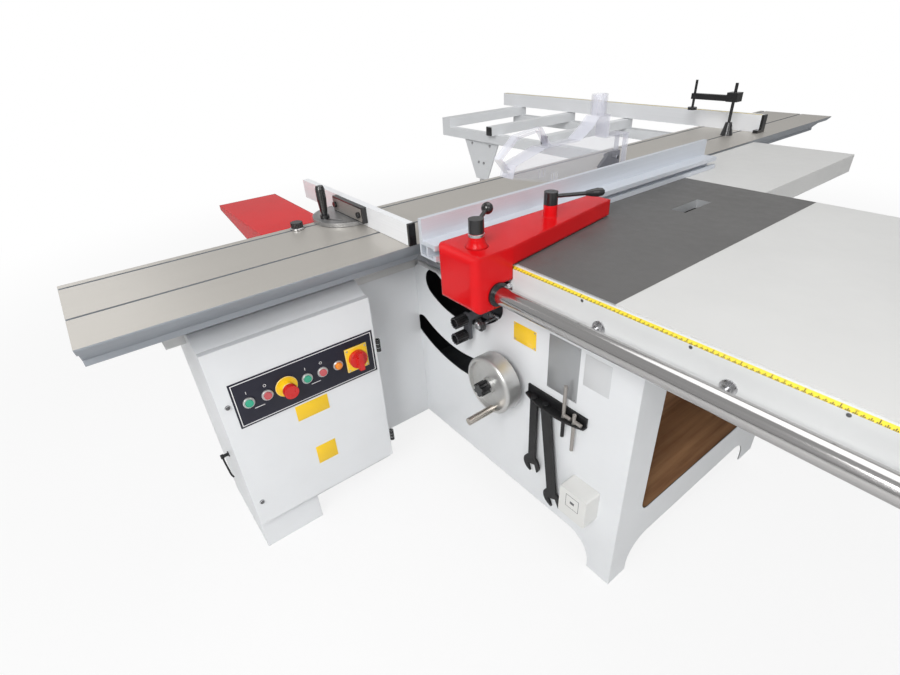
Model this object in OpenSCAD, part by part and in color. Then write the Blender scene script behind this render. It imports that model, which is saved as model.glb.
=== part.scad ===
// Sliding table saw for panels: tilting blade unit, rip fence on a round bar,
// sliding table with outrigger, mitre fence, guard and control cabinet.
// Drawn about the blade: x is measured from the blade, y from the front edge
// of the main table and z from the floor. One shift then centres the footprint.

/* [Tables] */
// Height of the table tops above the floor
table_height = 880; // [860:1:900]
// Distance from the blade to the right edge of the main table
main_table_right = 567; // [540:1:600]
// Depth of the main table from front to back
main_table_depth = 989; // [960:1:1020]
// Depth of the rim under the main table
main_table_rim = 45; // [42:1:50]
// Thickness of the main table's plate
main_table_plate = 28; // [22:1:30]
// Width of the right extension table
right_extension_w = 823; // [760:1:860]
// Width of the rear extension table
rear_extension_w = 406; // [340:1:450]
// Length of the rear extension table
rear_extension_l = 770; // [600:1:900]
// Depth of the folded edges of the extension tables
extension_edge = 68; // [55:1:75]
// Sheet thickness of the extension tables
extension_sheet = 3; // [2:0.5:5]
// Width and length of the window in the main table
window_size = [48, 150]; // [30:1:160]

/* [Sliding table] */
// Width of the sliding table
sliding_w = 388; // [370:1:400]
// Length of the sliding table
sliding_l = 3600; // [3400:10:3800]
// Distance that the sliding table reaches in front of the main table
sliding_front = 900; // [850:10:1000]
// Height of the sliding table's extrusion
sliding_h = 80; // [76:1:84]
// Length of the fixed beam
beam_l = 2200; // [2150:10:2300]
// Height of the fixed beam
beam_h = 58; // [54:1:60]
// Width of the fixed beam
beam_w = 160; // [140:1:170]
// Length of the roller carriage
carriage_l = 700; // [500:10:800]

/* [Saw unit] */
// Diameter of the saw blade
blade_d = 300; // [280:2:310]
// Height of the blade above the table
blade_rise = 55; // [45:1:60]
// Distance of the blade centre behind the table's front edge
blade_y = 400; // [385:1:415]
// Thickness of the saw blade
blade_t = 3.2; // [2.4:0.1:4]
// Diameter of the arbor shaft
arbor_d = 30; // [25:1:35]
// Diameter of the scoring blade
scoring_d = 120; // [100:2:125]
// Diameter of the main motor
motor_d = 190; // [150:2:200]
// Length of the main motor
motor_l = 175; // [140:1:180]
// Diameter of the drive pulleys
pulley_d = 76; // [70:2:100]

/* [Body] */
// Distance of the body's front face behind the table's front edge
body_front = 14; // [10:1:20]
// Depth of the body from front to back
body_depth = 844; // [830:1:860]
// Distance from the blade to the right face of the body
body_right = 654; // [640:1:670]
// Distance from the blade to the left face of the body
body_left = 430; // [410:1:450]
// Sheet thickness of the body
body_wall = 4; // [3:0.5:6]
// Distance from the blade to the face between body and cabinet
bridge_x = 225; // [215:1:235]
// Distance of the deck that carries the fixed beam below the table tops
deck_drop = 168; // [165:1:180]
// Height of the arches between the feet
arch_h = 108; // [90:1:118]

/* [Cabinet] */
// Width of the control cabinet along the sliding table
cabinet_w = 465; // [450:1:500]
// Distance of the cabinet's near end from the table's front edge
cabinet_near = 231; // [225:1:240]
// Distance from the blade to the cabinet door
cabinet_face = 96; // [90:1:110]
// Thickness of the door
door_t = 20; // [16:1:24]
// Distance of the door's upper edge below the table tops
door_drop = 149; // [148:1:165]
// Height of the door
door_h = 611; // [560:1:620]

/* [Rip fence] */
// Diameter of the guide bar
bar_d = 45; // [40:1:50]
// Length of the guide bar
bar_l = 1520; // [1480:10:1600]
// Width of the rip fence head
head_w = 150; // [140:1:160]
// Height of the rip fence
rip_fence_h = 98; // [70:1:100]
// Width of the rip fence's foot
rip_fence_w = 66; // [60:1:68]
// Length of the rip fence
rip_fence_l = 1334; // [1200:1:1400]

/* [Outrigger] */
// Reach of the outrigger frame from the sliding table
outrigger_reach = 1445; // [1300:5:1600]
// Depth of the outrigger frame
outrigger_depth = 700; // [600:5:760]
// Distance of the outrigger's near beam behind the table's front edge
outrigger_y = 1340; // [1300:5:1400]
// Length of the crosscut fence
crosscut_l = 1885; // [1700:5:1950]
// Height of the crosscut fence
crosscut_h = 80; // [60:1:90]

/* [Hidden] */
$fn = 64;

// Cuts run past the faces that they break through
overrun = 1;
// Gap between flat faces that slide on each other
slide_gap = 0.3;
// Radial clearance of a shaft in its bore
shaft_gap = 0.05;

// Main table and its neighbours
table_left = 10;
table_gap = 2;
table_rim_w = 30;
rear_rib_w = 30;
rear_rib_inset = 133;
window_x = 321;
window_y = 703;
insert_back = 680;
insert_lead = 14;
insert_right = 40;
insert_t = 8;
insert_ledge = 6;
insert_clear = 3.5;
table_bottom = table_height - main_table_rim;
plate_bottom = table_height - main_table_plate;
rear_extension_right = 414;
extension_right = main_table_right + right_extension_w;
extension_bottom = table_height - extension_edge;

// Sliding table section, with a relief under its right edge for the tilted blade
sliding_right = -(table_left + table_gap);
sliding_left = sliding_right - sliding_w;
sliding_bottom = table_height - sliding_h;
sliding_back = sliding_l - sliding_front;
sliding_lip = 4;
lip_relief = 19;
relief_step = 20;
sliding_side = 15;
lower_relief = sliding_h - sliding_lip - lip_relief - sliding_side;
slot_insets = [159, 362];
slot_mouth = 10;
slot_lip = 7;
slot_w = 20;
slot_h = 9;
chamber_edge = 42;
chamber_right = 96;
chamber_web = 8;
chamber_floor = 7;
chamber_roof = 28;
chamber_count = 3;
slot_left_x = sliding_right - slot_insets[1];
slot_right_x = sliding_right - slot_insets[0];
slot_pin_r = 4.8;
side_slot_drop = 34;

// Fixed beam and roller carriage under the sliding table
beam_front = 745;
beam_wall = 8;
deck_height = table_height - deck_drop;
beam_top = deck_height + beam_h;
rod_r = 8;
rod_inset = 30;
beam_x = -bridge_x - beam_w;
carriage_y = 300;
carriage_bottom = beam_top + rod_r + slide_gap;
carriage_top = sliding_bottom - slide_gap;
roller_count = 6;
roller_r = 8;
roller_reach = 12;

// Body
body_back = body_front + body_depth;
body_low_drop = 94;
body_low_top = table_height - body_low_drop;
body_slope = 74;
leg_w = 79;
leg_depth = 76;
rear_leg_depth = 91;
arch_r = 85;
bay_front = 118;
bay_back = 740;
bay_bottom = 224;
bay_drop = 190;
bay_z = [bay_bottom, table_height - bay_drop];
bay_r = 40;
bay_sill = 22;
lower_slot_r = 430;
lower_slot_w = 76;
lower_slot_angles = [-28, 29];
upper_slot_r = 228;
upper_slot_w = 92;
upper_slot_angles = [-32, 45];

// Storage bay lining
shelf_t = 18;
shelf_inner = 440;
shelf_back_top = 400;

// Cabinet
cabinet_far = cabinet_near + cabinet_w;
cabinet_front = cabinet_face + door_t;
cabinet_foot_h = 96;
cabinet_foot_l = 186;
cabinet_crown_drop = 120;
cabinet_crown = table_height - cabinet_crown_drop;
cabinet_crown_back = 170;
cabinet_frame = 46;
cabinet_wall = 4;
door_gap = 0.5;
door_sheet = 3;
door_top = table_height - door_drop;
door_bottom = door_top - door_h;
hinge_r = 7;
door_hinge_y = -(cabinet_near - hinge_r - slide_gap);
hinge_h = 14;
hinge_pin_r = 3;
hinge_inset_top = 166;
hinge_inset_bottom = 84;
hinge_z = [door_top - hinge_inset_top, door_bottom + hinge_inset_bottom];
hinge_leaf = 30;
hinge_leaf_t = 5;
lock_r = 6;
lock_t = 4;
lock_inset = 23;
lock_inset_top = 167;
lock_inset_bottom = 88;
lock_y = -(cabinet_far - lock_inset);
lock_z = [door_top - lock_inset_top, door_bottom + lock_inset_bottom];
panel_inset = 9;
panel_w = 418;
panel_drop = 105;
panel_h = 142;
panel_y = [-(cabinet_near + panel_inset + panel_w), -(cabinet_near + panel_inset)];
panel_z = [door_top - panel_drop - panel_h, door_top - panel_drop];
panel_t = 1.5;
panel_face = -cabinet_face + panel_t;
control_drop = 175;
control_z = door_top - control_drop;
control_inset = [390, 340, 285, 226, 179, 130, 69];
control_y = [for (inset = control_inset) -(cabinet_near + inset)];
button_places = [0, 1, 3, 4];
stop_place = 2;
lamp_place = 5;
switch_place = 6;
button_r = 10.5;
button_gap = 0.3;
bezel_r = 15;
bezel_h = 6;
button_proud = 4;
button_depth = 16;
lamp_h = 9;
stop_plate_r = 31;
stop_plate_t = 2;
stop_collar_r = 17;
stop_collar_h = 16;
stop_stem_r = 8;
stop_head_r = 20;
stop_head_h = 16;
stop_travel = 6;
stop_stem_in = 10;
switch_plate = [70, 78];
switch_plate_t = 5;
switch_r = 28;
switch_h = 12;
switch_grip = [60, 15, 16];
switch_stem_r = 7;
switch_stem_in = 6;

// Rail, bar and studs along the front
rail_t = 17;
rail_top_drop = 4;
rail_h = 82;
rail_left = -table_left;
rail_beyond = 50;
rail_lip = 7;
rail_slope = 4;
bar_left = -40;
bar_right = bar_left + bar_l;
bar_y = -67.4;
bar_drop = 58.7;
bar_z = table_height - bar_drop;
stud_r = 6;
stud_first = 262;
stud_pitch = 283;
stud_count = 5;
nut_r = 11;
nut_t = 9;
washer_r = 16;
washer_t = 3;

// Rip fence and its head
rip_left = 62;
rip_front = -141;
rip_lift = 0.5;
rip_wall = 14;
rip_foot_h = 42;
rip_chamber = [22, 26];
rip_web = 6;
rip_slot = [10, 14];
rip_slot_z = 21;
head_left = rip_left + rip_fence_w + slide_gap;
head_right = head_left + head_w;
head_front = -138;
head_back = -18;
head_drop = 96;
head_rise = 50;
head_bottom = table_height - head_drop;
head_top = table_height + head_rise;
head_round = 20;
arm_end = 447;
arm_end_w = 75;
arm_lift = 4;
arm_bottom = table_height + arm_lift;
bush_r = 31;
bush_t = 6;
bore_gap = 0.06;
stud_way = 25;
boss_r = 19;
boss_h = 34;
head_lever_at = [215, -78];
fence_lever_at = [185, 208];
lever_hub_r = 19;
lever_hub_h = 34;
lever_share = 0.6;
lever_pin_r = 8;
lever_rod_r = 5.5;
head_lever_reach = [-39, 69];
head_ball_r = 15;
head_lever_climb = 15;
fence_lever_reach = [72, 132];
grip_r = 12;
grip_l = 52;
lever_grip_shares = [[0, 0], [0.55, 0], [0.85, 0.35], [1, 0.65], [0.85, 0.9], [0.5, 1], [0, 1]];
tongue_h = 8;
tongue_gap = 1;
tongue_l = 120;
tongue_y = [-60, 300];

// Tilting saw unit, turning about the line where the blade meets the table
arbor_z = table_height + blade_rise - blade_d / 2;
trunnion_r = [150, 195];
trunnion_t = 20;
trunnion_y = [60, 700];
trunnion_angles = [-5, 58];
guide_w = 20;
guide_angles = [-58, 62];
guide_leg = [100, 170];
frame_x = 100;
frame_t = 20;
frame_top_drop = 34;
frame_bottom_drop = 400;
notch_w = 112;
notch_depth = 178;
hub_x = 226;
hub_drop = 369;
hub_at = [hub_x, table_height - hub_drop];
hub_r = 32;
hub_l = 60;
yoke_t = 20;
yoke_y = 40;
scoring_clear = 8;
scoring_y = blade_y - blade_d / 2 - scoring_d / 2 - scoring_clear;
scoring_rise = 2;
scoring_z = table_height + scoring_rise - scoring_d / 2;
insert_y = [scoring_y - scoring_d / 2 - insert_lead, insert_back];
scoring_t = 3;
scoring_housing_r = 20;
scoring_housing_x = 14;
scoring_teeth = 24;
scoring_tooth = 3;
scoring_shaft_r = 8;
scoring_nut_r = 12;
scoring_nut_l = 6;
scoring_pulley_r = 16;
scoring_pulley_w = 14;
scoring_pulley_clear = 3;
scoring_motor_gap = 25;
scoring_motor_d = 110;
scoring_motor_l = 150;
scoring_motor_drop = 230;
knob_x = [80, 79];
knob_drop = [228, 282];
knob_at = [for (i = [0, 1]) [knob_x[i], table_height - knob_drop[i]]];
knob_y = [-60, -20];
knob_r = 18;
knob_flutes = 12;
flute_r = 2.2;
knob_hollow_r = 12;
knob_hollow = 12;
stem_r = 6;
adjuster_r = 13;
adjuster_y = -16;
adjuster_t = 12;

// Rise carriage
carriage_x = frame_x + frame_t + slide_gap;
rise_plate_t = 20;
rise_plate_y = [250, 650];
rise_plate_drop = 72;
housing_r = 45;
housing_x = [14, 200];
flange_r = 33;
flange_t = 6;
arbor_nut_r = 16;
arbor_nut_l = 10;
pulley_x = [205, 235];
motor_at = [560, -300];
motor_x = 245;
motor_shaft_r = 14;
motor_foot_t = 12;
motor_foot_w = 200;
motor_pad = 120;
fin_inset = 12;
fin_count = 20;
fin_t = 4;
fin_h = 8;
belt_t = 6;
belt_gap = 0.4;
belt_inset = 2;
blade_teeth = 48;
blade_tooth = 5;
gullet_angle = 30;
knife_t = 2.6;
knife_gap = 5;
knife_w = 42;
knife_top = 48;
knife_angles = [60, 165];
knife_arm_drop = 55;
knife_arm_h = 30;
knife_arm_t = 16;
knife_clamp_w = 34;
knife_back = blade_y + blade_d / 2 + knife_gap + knife_clamp_w;

// Handwheel
wheel_r = 88;
wheel_depth = 50;
wheel_back = -16;
wheel_wall = 12;
wheel_round = 9;
wheel_dish = 12;
wheel_hub_r = 24;
wheel_shaft_r = 12;
wheel_web = 8;
lock_stem_l = 14;
crank_at = [25, -65];
crank_pin_r = 5;
crank_r = 11;
crank_l = 88;
lock_knob_r = 21;
lock_knob_l = 30;
lock_lobes = 6;
lock_lobe_r = 6;

// Blade guard
guard_w = 56;
guard_wall = 4;
guard_bottom_rise = 70;
guard_top_rise = 187;
guard_bottom = table_height + guard_bottom_rise;
guard_top = table_height + guard_top_rise;
guard_front = 215;
guard_nose = [121, 157];
guard_nose_lean = 13;
guard_crest_y = [347, 506];
guard_chimney = [560, 642];
guard_chimney_cut = 28;
guard_chimney_rise = 246;
guard_chimney_top = table_height + guard_chimney_rise;
guard_rear = 752;
guard_shoulder_rise = 178;
guard_shoulder = table_height + guard_shoulder_rise;
guard_lift_y = 420;
outlet_r = 26;
outlet_wall = 3;
outlet_h = 60;
pivot_y = 705;
pivot_rise = 105;
pivot_at = [pivot_y, table_height + pivot_rise];
pivot_r = 6;
post_t = 12;
post_y = [690, 745];
post_tip_y = 640;
post_tip_rise = 80;
post_rise = 120;
post_top = table_height + post_rise;
post_foot_w = 30;
post_foot_t = 8;
post_slack = 2;
handle_t = 10;
handle_w = 24;
handle_y = [7, -31, 35, 130, 170];
handle_z = [135, 178, 228, 238, 184];
guard_slot = [9, 24];
guard_slot_y = [380, 397];
guard_slot_rise = 16;

// Mitre fence
miter_y = -128;
miter_r = 105;
miter_t = 12;
miter_lift = 1;
miter_slot_r = 73;
miter_slot_w = 11;
miter_slot_angle = 50;
miter_pin_gap = 0.06;
miter_left = 690;
miter_right = 8;
miter_fence_t = 22;
miter_fence_h = 61;
miter_end_t = 8;
bracket_x = [-50, 140];
bracket_h = 60;
bracket_t = 16;
star_r = 9;
star_t = 8;
grip_body_r = 14;
grip_body_h = 88;
grip_collar_h = 10;
miter_grip_shares = [[0, 0], [0.62, 0], [0.8, 0.15], [1, 0.55], [1, 0.9], [0.8, 1], [0, 1]];

// Support wing
wing_reach = 425;
wing_y = [-394, -193];
wing_plate = 6;
wing_tip = 16;
wing_root = 91;
wing_web = 5;
wing_tongue = [14, 8];
wing_knob_r = 18;
wing_knob_h = 22;
wing_stem_r = 4.5;

// Outrigger and crosscut fence
beam_drop = 55;
beam_box = [50, 53];
rail_w = 80;
tube_w = 50;
tube_drop = 4;
tube_wall = 4;
tube_first = 495;
tube_pitch = 450;
tube_count = 2;
tube_proud = 40;
v_top = 325;
v_bottom = 110;
v_depth = 235;
v_t = 8;
v_x = 912;
crosscut_right = -75;
crosscut_y = 2000;
crosscut_t = 35;
end_foot = [24, 70, 14];
end_cap_t = 12;

// Hold-down clamp
column_y = 1850;
column_r = 7;
column_h = 230;
column_foot_r = [28, 15];
column_foot_h = 58;
arm_height = 150;
arm_block = [52, 52, 40];
arm_bar = [22, 26];
spindle_r = 6;
spindle_top = 60;
pad_r = 22;
pad_h = 12;
pad_rise = 100;

// Tools on the front of the body
tray_left = 318;
tray_w = 205;
tray_drop = 375;
tray_z = table_height - tray_drop;
tray_depth = 34;
tray_end_depth = 16;
tray_hole_in = 16;
tray_t = 6;
tray_back_h = 30;
tray_hole_shares = [0.17, 0.38, 0.68, 0.85];
tray_hole_r = 7;
hang_x = [for (share = tray_hole_shares) tray_left + share * tray_w];
wrench_t = 7;
short_wrench_w = 26;
short_wrench_l = 235;
short_wrench_head_r = 31;
long_wrench_w = 34;
long_wrench_l = 315;
long_wrench_head_r = 33;
wrench_jaw_shares = [0.9, 1.3];
wrench_jaw_angle = 20;
wrench_lean_angle = 8;
wrench_hang = 6;
key_r = 5;
long_key_l = 165;
long_key_proud = 98;
short_key_l = 120;
short_key_proud = 27;
key_bend = 24;
junction_x = 496;
junction_below = 283;
junction_size = [91, 55, 99];
junction_round = 6;

// Swing arm under the outrigger
arm_standoff = 50;
arm_pivot_y = 430;
arm_pivot = [-body_left - arm_standoff, arm_pivot_y];
arm_drop = 262;
arm_z = deck_height - arm_drop;
arm_tube = 60;
arm_wall = 5;
arm_l = 900;
arm_inner_start = 300;
arm_inner_end = 1364;
arm_eye_r = 38;
arm_pin_r = 12;
arm_angle = 136.7;
lug_t = 12;
lug_gap = 0.5;
lug_w = 80;
arm_post_r = 18;

// The footprint's middle, on the floor, is the origin
span_x = [crosscut_right - crosscut_l, bar_right];
span_y = [-sliding_front, sliding_back];
to_center = [-(span_x[0] + span_x[1]) / 2, -(span_y[0] + span_y[1]) / 2, 0];

module placed() {
  translate(to_center) children();
}

// Box between two corners
module box(low, high) {
  translate(low) cube(high - low);
}

module rod_x(at, r, l) {
  translate(at) rotate([0, 90, 0]) cylinder(r = r, h = l);
}

module rod_y(at, r, l) {
  translate(at) rotate([-90, 0, 0]) cylinder(r = r, h = l);
}

module rod_z(at, r, l) {
  translate(at) cylinder(r = r, h = l);
}

// Flat shape in x and z, thickened along y
module slab_y(y, t) {
  translate([0, y + t, 0]) rotate([90, 0, 0]) linear_extrude(t) children();
}

// Flat shape in y and z, thickened along x
module slab_x(x, t) {
  translate([x, 0, 0]) rotate([90, 0, 90]) linear_extrude(t) children();
}

// Flat shape in x and y, thickened along z
module slab_z(z, t) {
  translate([0, 0, z]) linear_extrude(t) children();
}

module rounded_square(size, r) {
  translate([r, 0]) square([size[0] - 2 * r, size[1]]);
  translate([0, r]) square([size[0], size[1] - 2 * r]);
  for (x = [r, size[0] - r], y = [r, size[1] - r])
    translate([x, y]) circle(r);
}

// Direction that hangs straight down at zero and swings right as it grows
function hang(r, a) = [r * sin(a), -r * cos(a)];

// Outline stretched from shares to a radius and a length
function spread(shares, r, l) = [for (s = shares) [s[0] * r, s[1] * l]];

// Wedge that covers a sweep of hanging directions and reaches well past the radius
wedge_share = 1.3;
wedge_steps = 8;

module wedge(r, a0, a1) {
  step = (a1 - a0) / wedge_steps;
  polygon(concat([[0, 0]], [for (i = [0:wedge_steps]) hang(r * wedge_share, a0 + step * i)]));
}

module ring_part(r0, r1, a0, a1) {
  intersection() {
    difference() {
      circle(r1);
      circle(r0);
    }
    wedge(r1, a0, a1);
  }
}

module arc_slot(r, w, a0, a1) {
  ring_part(r - w / 2, r + w / 2, a0, a1);
  for (a = [a0, a1])
    translate(hang(r, a)) circle(w / 2);
}

// Opening between two feet: straight below, rounded above
module arch(w, h, r) {
  translate([0, -overrun]) square([w, h - r + overrun]);
  translate([r, 0]) square([w - 2 * r, h]);
  for (x = [r, w - r])
    translate([x, h - r]) circle(r);
}

module fluted(r, count, cut_r) {
  difference() {
    circle(r);
    for (i = [0:count - 1])
      rotate(360 * i / count) translate([r, 0]) circle(cut_r, $fn = 24);
  }
}

// Body

module body_outline() {
  polygon([
    [-body_left, 0], [body_right, 0], [body_right, extension_bottom], [main_table_right, extension_bottom],
    [main_table_right, table_bottom], [-table_left, table_bottom],
    [-table_left, body_low_top], [-bridge_x + body_slope, body_low_top], [-bridge_x, deck_height],
    [-body_left, deck_height]
  ]);
}

module body_hollow() {
  polygon([
    [-body_left + body_wall, -overrun], [body_right - body_wall, -overrun],
    [body_right - body_wall, table_bottom + overrun], [-bridge_x + body_wall, table_bottom + overrun],
    [-bridge_x + body_wall, deck_height - body_wall], [-body_left + body_wall, deck_height - body_wall]
  ]);
}

module machine_body() {
  color("whitesmoke") placed() {
    difference() {
      union() {
        slab_y(body_front, body_depth) body_outline();
        box([-body_left, -cabinet_near, 0], [-bridge_x, body_front + body_wall, deck_height]);
      }
      slab_y(body_front + body_wall, body_depth - 2 * body_wall) body_hollow();
      box([-body_left + body_wall, -cabinet_near + body_wall, -overrun],
        [-bridge_x - body_wall, body_front + 2 * body_wall, deck_height - body_wall]);
      // Feet
      translate([-body_left - arch_r, 0, 0])
        slab_y(-cabinet_near - overrun, body_front + cabinet_near + body_wall + 2 * overrun)
          arch(body_left + arch_r + body_right - leg_w, arch_h, arch_r);
      translate([-body_left + leg_w, 0, 0]) slab_y(body_back - body_wall - overrun, body_wall + 2 * overrun)
        arch(body_left + body_right - 2 * leg_w, arch_h, arch_r);
      translate([0, body_front + leg_depth, 0])
        slab_x(body_right - body_wall - overrun, body_wall + 2 * overrun)
          arch(body_depth - leg_depth - rear_leg_depth, arch_h, arch_r);
      translate([0, -cabinet_near - arch_r, 0]) slab_x(-body_left - overrun, body_wall + 2 * overrun)
        arch(body_back + cabinet_near + arch_r - rear_leg_depth, arch_h, arch_r);
      // Slots that the handwheel and the scoring knobs follow
      translate([0, 0, table_height]) slab_y(body_front - overrun, body_wall + 2 * overrun) {
        arc_slot(lower_slot_r, lower_slot_w, lower_slot_angles[0], lower_slot_angles[1]);
        arc_slot(upper_slot_r, upper_slot_w, upper_slot_angles[0], upper_slot_angles[1]);
      }
      // Storage bay
      translate([0, bay_front, bay_z[0]]) slab_x(body_right - body_wall - overrun, body_wall + 2 * overrun)
        rounded_square([bay_back - bay_front, bay_z[1] - bay_z[0]], bay_r);
    }
    // Lugs and pin of the swing arm
    for (z = [arm_z - lug_gap - lug_t, arm_z + arm_tube + lug_gap])
      box([arm_pivot[0] - arm_eye_r, arm_pivot[1] - lug_w / 2, z],
        [-body_left, arm_pivot[1] + lug_w / 2, z + lug_t]);
    rod_z([arm_pivot[0], arm_pivot[1], arm_z - lug_gap - lug_t], arm_pin_r,
      arm_tube + 2 * lug_gap + 2 * lug_t);
  }
}

module storage_shelf() {
  floor_z = bay_z[0] - bay_sill;
  ends = [body_front + body_wall, body_back - body_wall];
  color("peru") placed() {
    box([shelf_inner, ends[0], floor_z], [body_right - body_wall, ends[1], floor_z + shelf_t]);
    box([shelf_inner, ends[0], floor_z + shelf_t], [shelf_inner + shelf_t, ends[1], shelf_back_top]);
  }
}

// Tables

module main_table() {
  color("dimgray") placed() difference() {
    union() {
      box([-table_left, 0, plate_bottom], [main_table_right, main_table_depth, table_height]);
      difference() {
        box([-table_left, 0, table_bottom], [main_table_right, main_table_depth, table_height]);
        box([-table_left + table_rim_w, table_rim_w, table_bottom - overrun],
          [main_table_right - table_rim_w, main_table_depth - table_rim_w, plate_bottom + overrun]);
      }
      // Rib over the back wall of the body
      translate([0, main_table_depth - rear_rib_inset, 0])
        box([-table_left, -rear_rib_w / 2, table_bottom], [main_table_right, rear_rib_w / 2, table_height]);
    }
    // Blade opening with a ledge for the insert
    box([-table_left - overrun, insert_y[0], table_height - insert_t],
      [insert_right, insert_y[1], table_height + overrun]);
    box([-table_left - overrun, insert_y[0] + insert_ledge, table_bottom - overrun],
      [insert_right - insert_ledge, insert_y[1] - insert_ledge, table_height]);
    translate([window_x - window_size[0] / 2, window_y - window_size[1] / 2, 0])
      box([0, 0, table_bottom - overrun], [window_size[0], window_size[1], table_height + overrun]);
  }
}

module table_insert() {
  color("gainsboro") placed()
    box([insert_clear, insert_y[0], table_height - insert_t], [insert_right, insert_y[1], table_height]);
}

// Sheet table with folded edges
module folded_table(low, high) {
  difference() {
    box([low[0], low[1], extension_bottom], [high[0], high[1], table_height]);
    box([low[0] + extension_sheet, low[1] + extension_sheet, extension_bottom - overrun],
      [high[0] - extension_sheet, high[1] - extension_sheet, table_height - extension_sheet]);
  }
}

module right_extension_table() {
  color("whitesmoke") placed()
    folded_table([main_table_right, 0], [extension_right, main_table_depth]);
}

module rear_extension_table() {
  color("whitesmoke") placed()
    folded_table([rear_extension_right - rear_extension_w, main_table_depth],
      [rear_extension_right, main_table_depth + rear_extension_l]);
}

// Rail and guide bar

module front_rail() {
  color("white") placed() slab_x(rail_left, extension_right + rail_beyond - rail_left)
    polygon([
      [-rail_t, table_height - rail_top_drop - rail_h], [0, table_height - rail_top_drop - rail_h],
      [0, table_height - rail_top_drop], [-rail_lip, table_height - rail_top_drop],
      [-rail_t, table_height - rail_top_drop - rail_slope]
    ]);
}

module guide_bar() {
  color("silver") placed() rod_x([bar_left, bar_y, bar_z], bar_d / 2, bar_l);
}

module bar_studs() {
  color("lightsteelblue") placed()
    for (i = [0:stud_count - 1]) translate([stud_first + i * stud_pitch, 0, bar_z]) {
      difference() {
        rod_y([0, bar_y, 0], stud_r, -bar_y - rail_t);
        rod_x([-bar_d, bar_y, 0], bar_d / 2, 2 * bar_d);
      }
      rod_y([0, -rail_t - washer_t, 0], washer_r, washer_t);
      translate([0, -rail_t - washer_t - nut_t, 0]) rotate([-90, 0, 0])
        cylinder(r = nut_r, h = nut_t, $fn = 6);
    }
}

// Sliding table, beam and carriage

module sliding_outline() {
  lip_z = table_height - sliding_lip;
  step_z = lip_z - lip_relief;
  side_x = sliding_right - lip_relief - relief_step - lower_relief;
  polygon([
    [sliding_right, table_height], [sliding_right, lip_z], [sliding_right - lip_relief, step_z],
    [sliding_right - lip_relief - relief_step, step_z], [side_x, step_z - lower_relief],
    [side_x, sliding_bottom], [sliding_left, sliding_bottom], [sliding_left, table_height]
  ]);
}

// T-slot pointing up, with its mouth at the origin
module t_slot() {
  translate([-slot_mouth / 2, -slot_lip - overrun]) square([slot_mouth, slot_lip + 2 * overrun]);
  translate([-slot_w / 2, -slot_lip - slot_h]) square([slot_w, slot_h]);
}

module sliding_table() {
  chamber_w = (sliding_w - chamber_edge - chamber_right - (chamber_count - 1) * chamber_web) / chamber_count;
  color("silver") placed() slab_y(-sliding_front, sliding_l) difference() {
    sliding_outline();
    for (inset = slot_insets)
      translate([sliding_right - inset, table_height]) t_slot();
    translate([sliding_left, table_height - side_slot_drop]) rotate(90) t_slot();
    for (i = [0:chamber_count - 1])
      translate([sliding_left + chamber_edge + i * (chamber_w + chamber_web), sliding_bottom + chamber_floor])
        square([chamber_w, sliding_h - chamber_floor - chamber_roof]);
  }
}

module table_base_beam() {
  color("lightgray") placed() {
    difference() {
      box([beam_x, -beam_front, deck_height], [beam_x + beam_w, beam_l - beam_front, beam_top]);
      box([beam_x + beam_wall, -beam_front - overrun, deck_height + beam_wall],
        [beam_x + beam_w - beam_wall, beam_l - beam_front + overrun, beam_top - beam_wall]);
    }
    for (x = [beam_x + rod_inset, beam_x + beam_w - rod_inset])
      rod_y([x, -beam_front, beam_top], rod_r, beam_l);
  }
}

module roller_carriage() {
  middle = (carriage_bottom + carriage_top) / 2;
  color("dimgray") placed() {
    box([beam_x, carriage_y, carriage_bottom], [beam_x + beam_w, carriage_y + carriage_l, carriage_top]);
    for (i = [0:roller_count - 1], x = [beam_x - roller_reach, beam_x + beam_w])
      rod_x([x, carriage_y + carriage_l * (i + 0.5) / roller_count, middle], roller_r, roller_reach);
  }
}

// Support wing beside the sliding table

module support_wing() {
  root_x = sliding_left - slide_gap;
  tip_x = root_x - wing_reach;
  color("crimson") placed() {
    box([tip_x, wing_y[0], table_height - wing_plate], [root_x, wing_y[1], table_height]);
    for (y = [wing_y[0], wing_y[1] - wing_web])
      slab_y(y, wing_web) polygon([
        [tip_x, table_height - wing_plate], [tip_x, table_height - wing_tip],
        [root_x, table_height - wing_root], [root_x, table_height - wing_plate]
      ]);
    box([root_x - wing_web, wing_y[0], table_height - wing_root],
      [root_x, wing_y[1], table_height - wing_plate]);
    // Tongue in the side slot of the sliding table
    box([root_x, wing_y[0], table_height - side_slot_drop - wing_tongue[1] / 2],
      [root_x + wing_tongue[0], wing_y[1], table_height - side_slot_drop + wing_tongue[1] / 2]);
  }
}

module wing_knob() {
  middle = (wing_y[0] + wing_y[1]) / 2;
  color("black") placed() translate([slot_left_x, middle, table_height]) {
    slab_z(slide_gap, wing_knob_h) fluted(wing_knob_r, knob_flutes, flute_r);
    rod_z([0, 0, -slot_lip], wing_stem_r, slot_lip + slide_gap);
  }
}

// Mitre fence

module miter_protractor() {
  z = table_height + miter_lift;
  color("gray") placed() translate([slot_left_x, miter_y, 0]) {
    slab_z(z, miter_t) difference() {
      intersection() {
        circle(miter_r);
        translate([-miter_r, -miter_r]) square([2 * miter_r, miter_r]);
      }
      arc_slot(miter_slot_r, miter_slot_w, -miter_slot_angle, miter_slot_angle);
    }
    // Pivot pin in the T-slot
    rod_z([0, 0, table_height - slot_lip], slot_pin_r - miter_pin_gap, slot_lip + miter_lift);
  }
}

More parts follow.
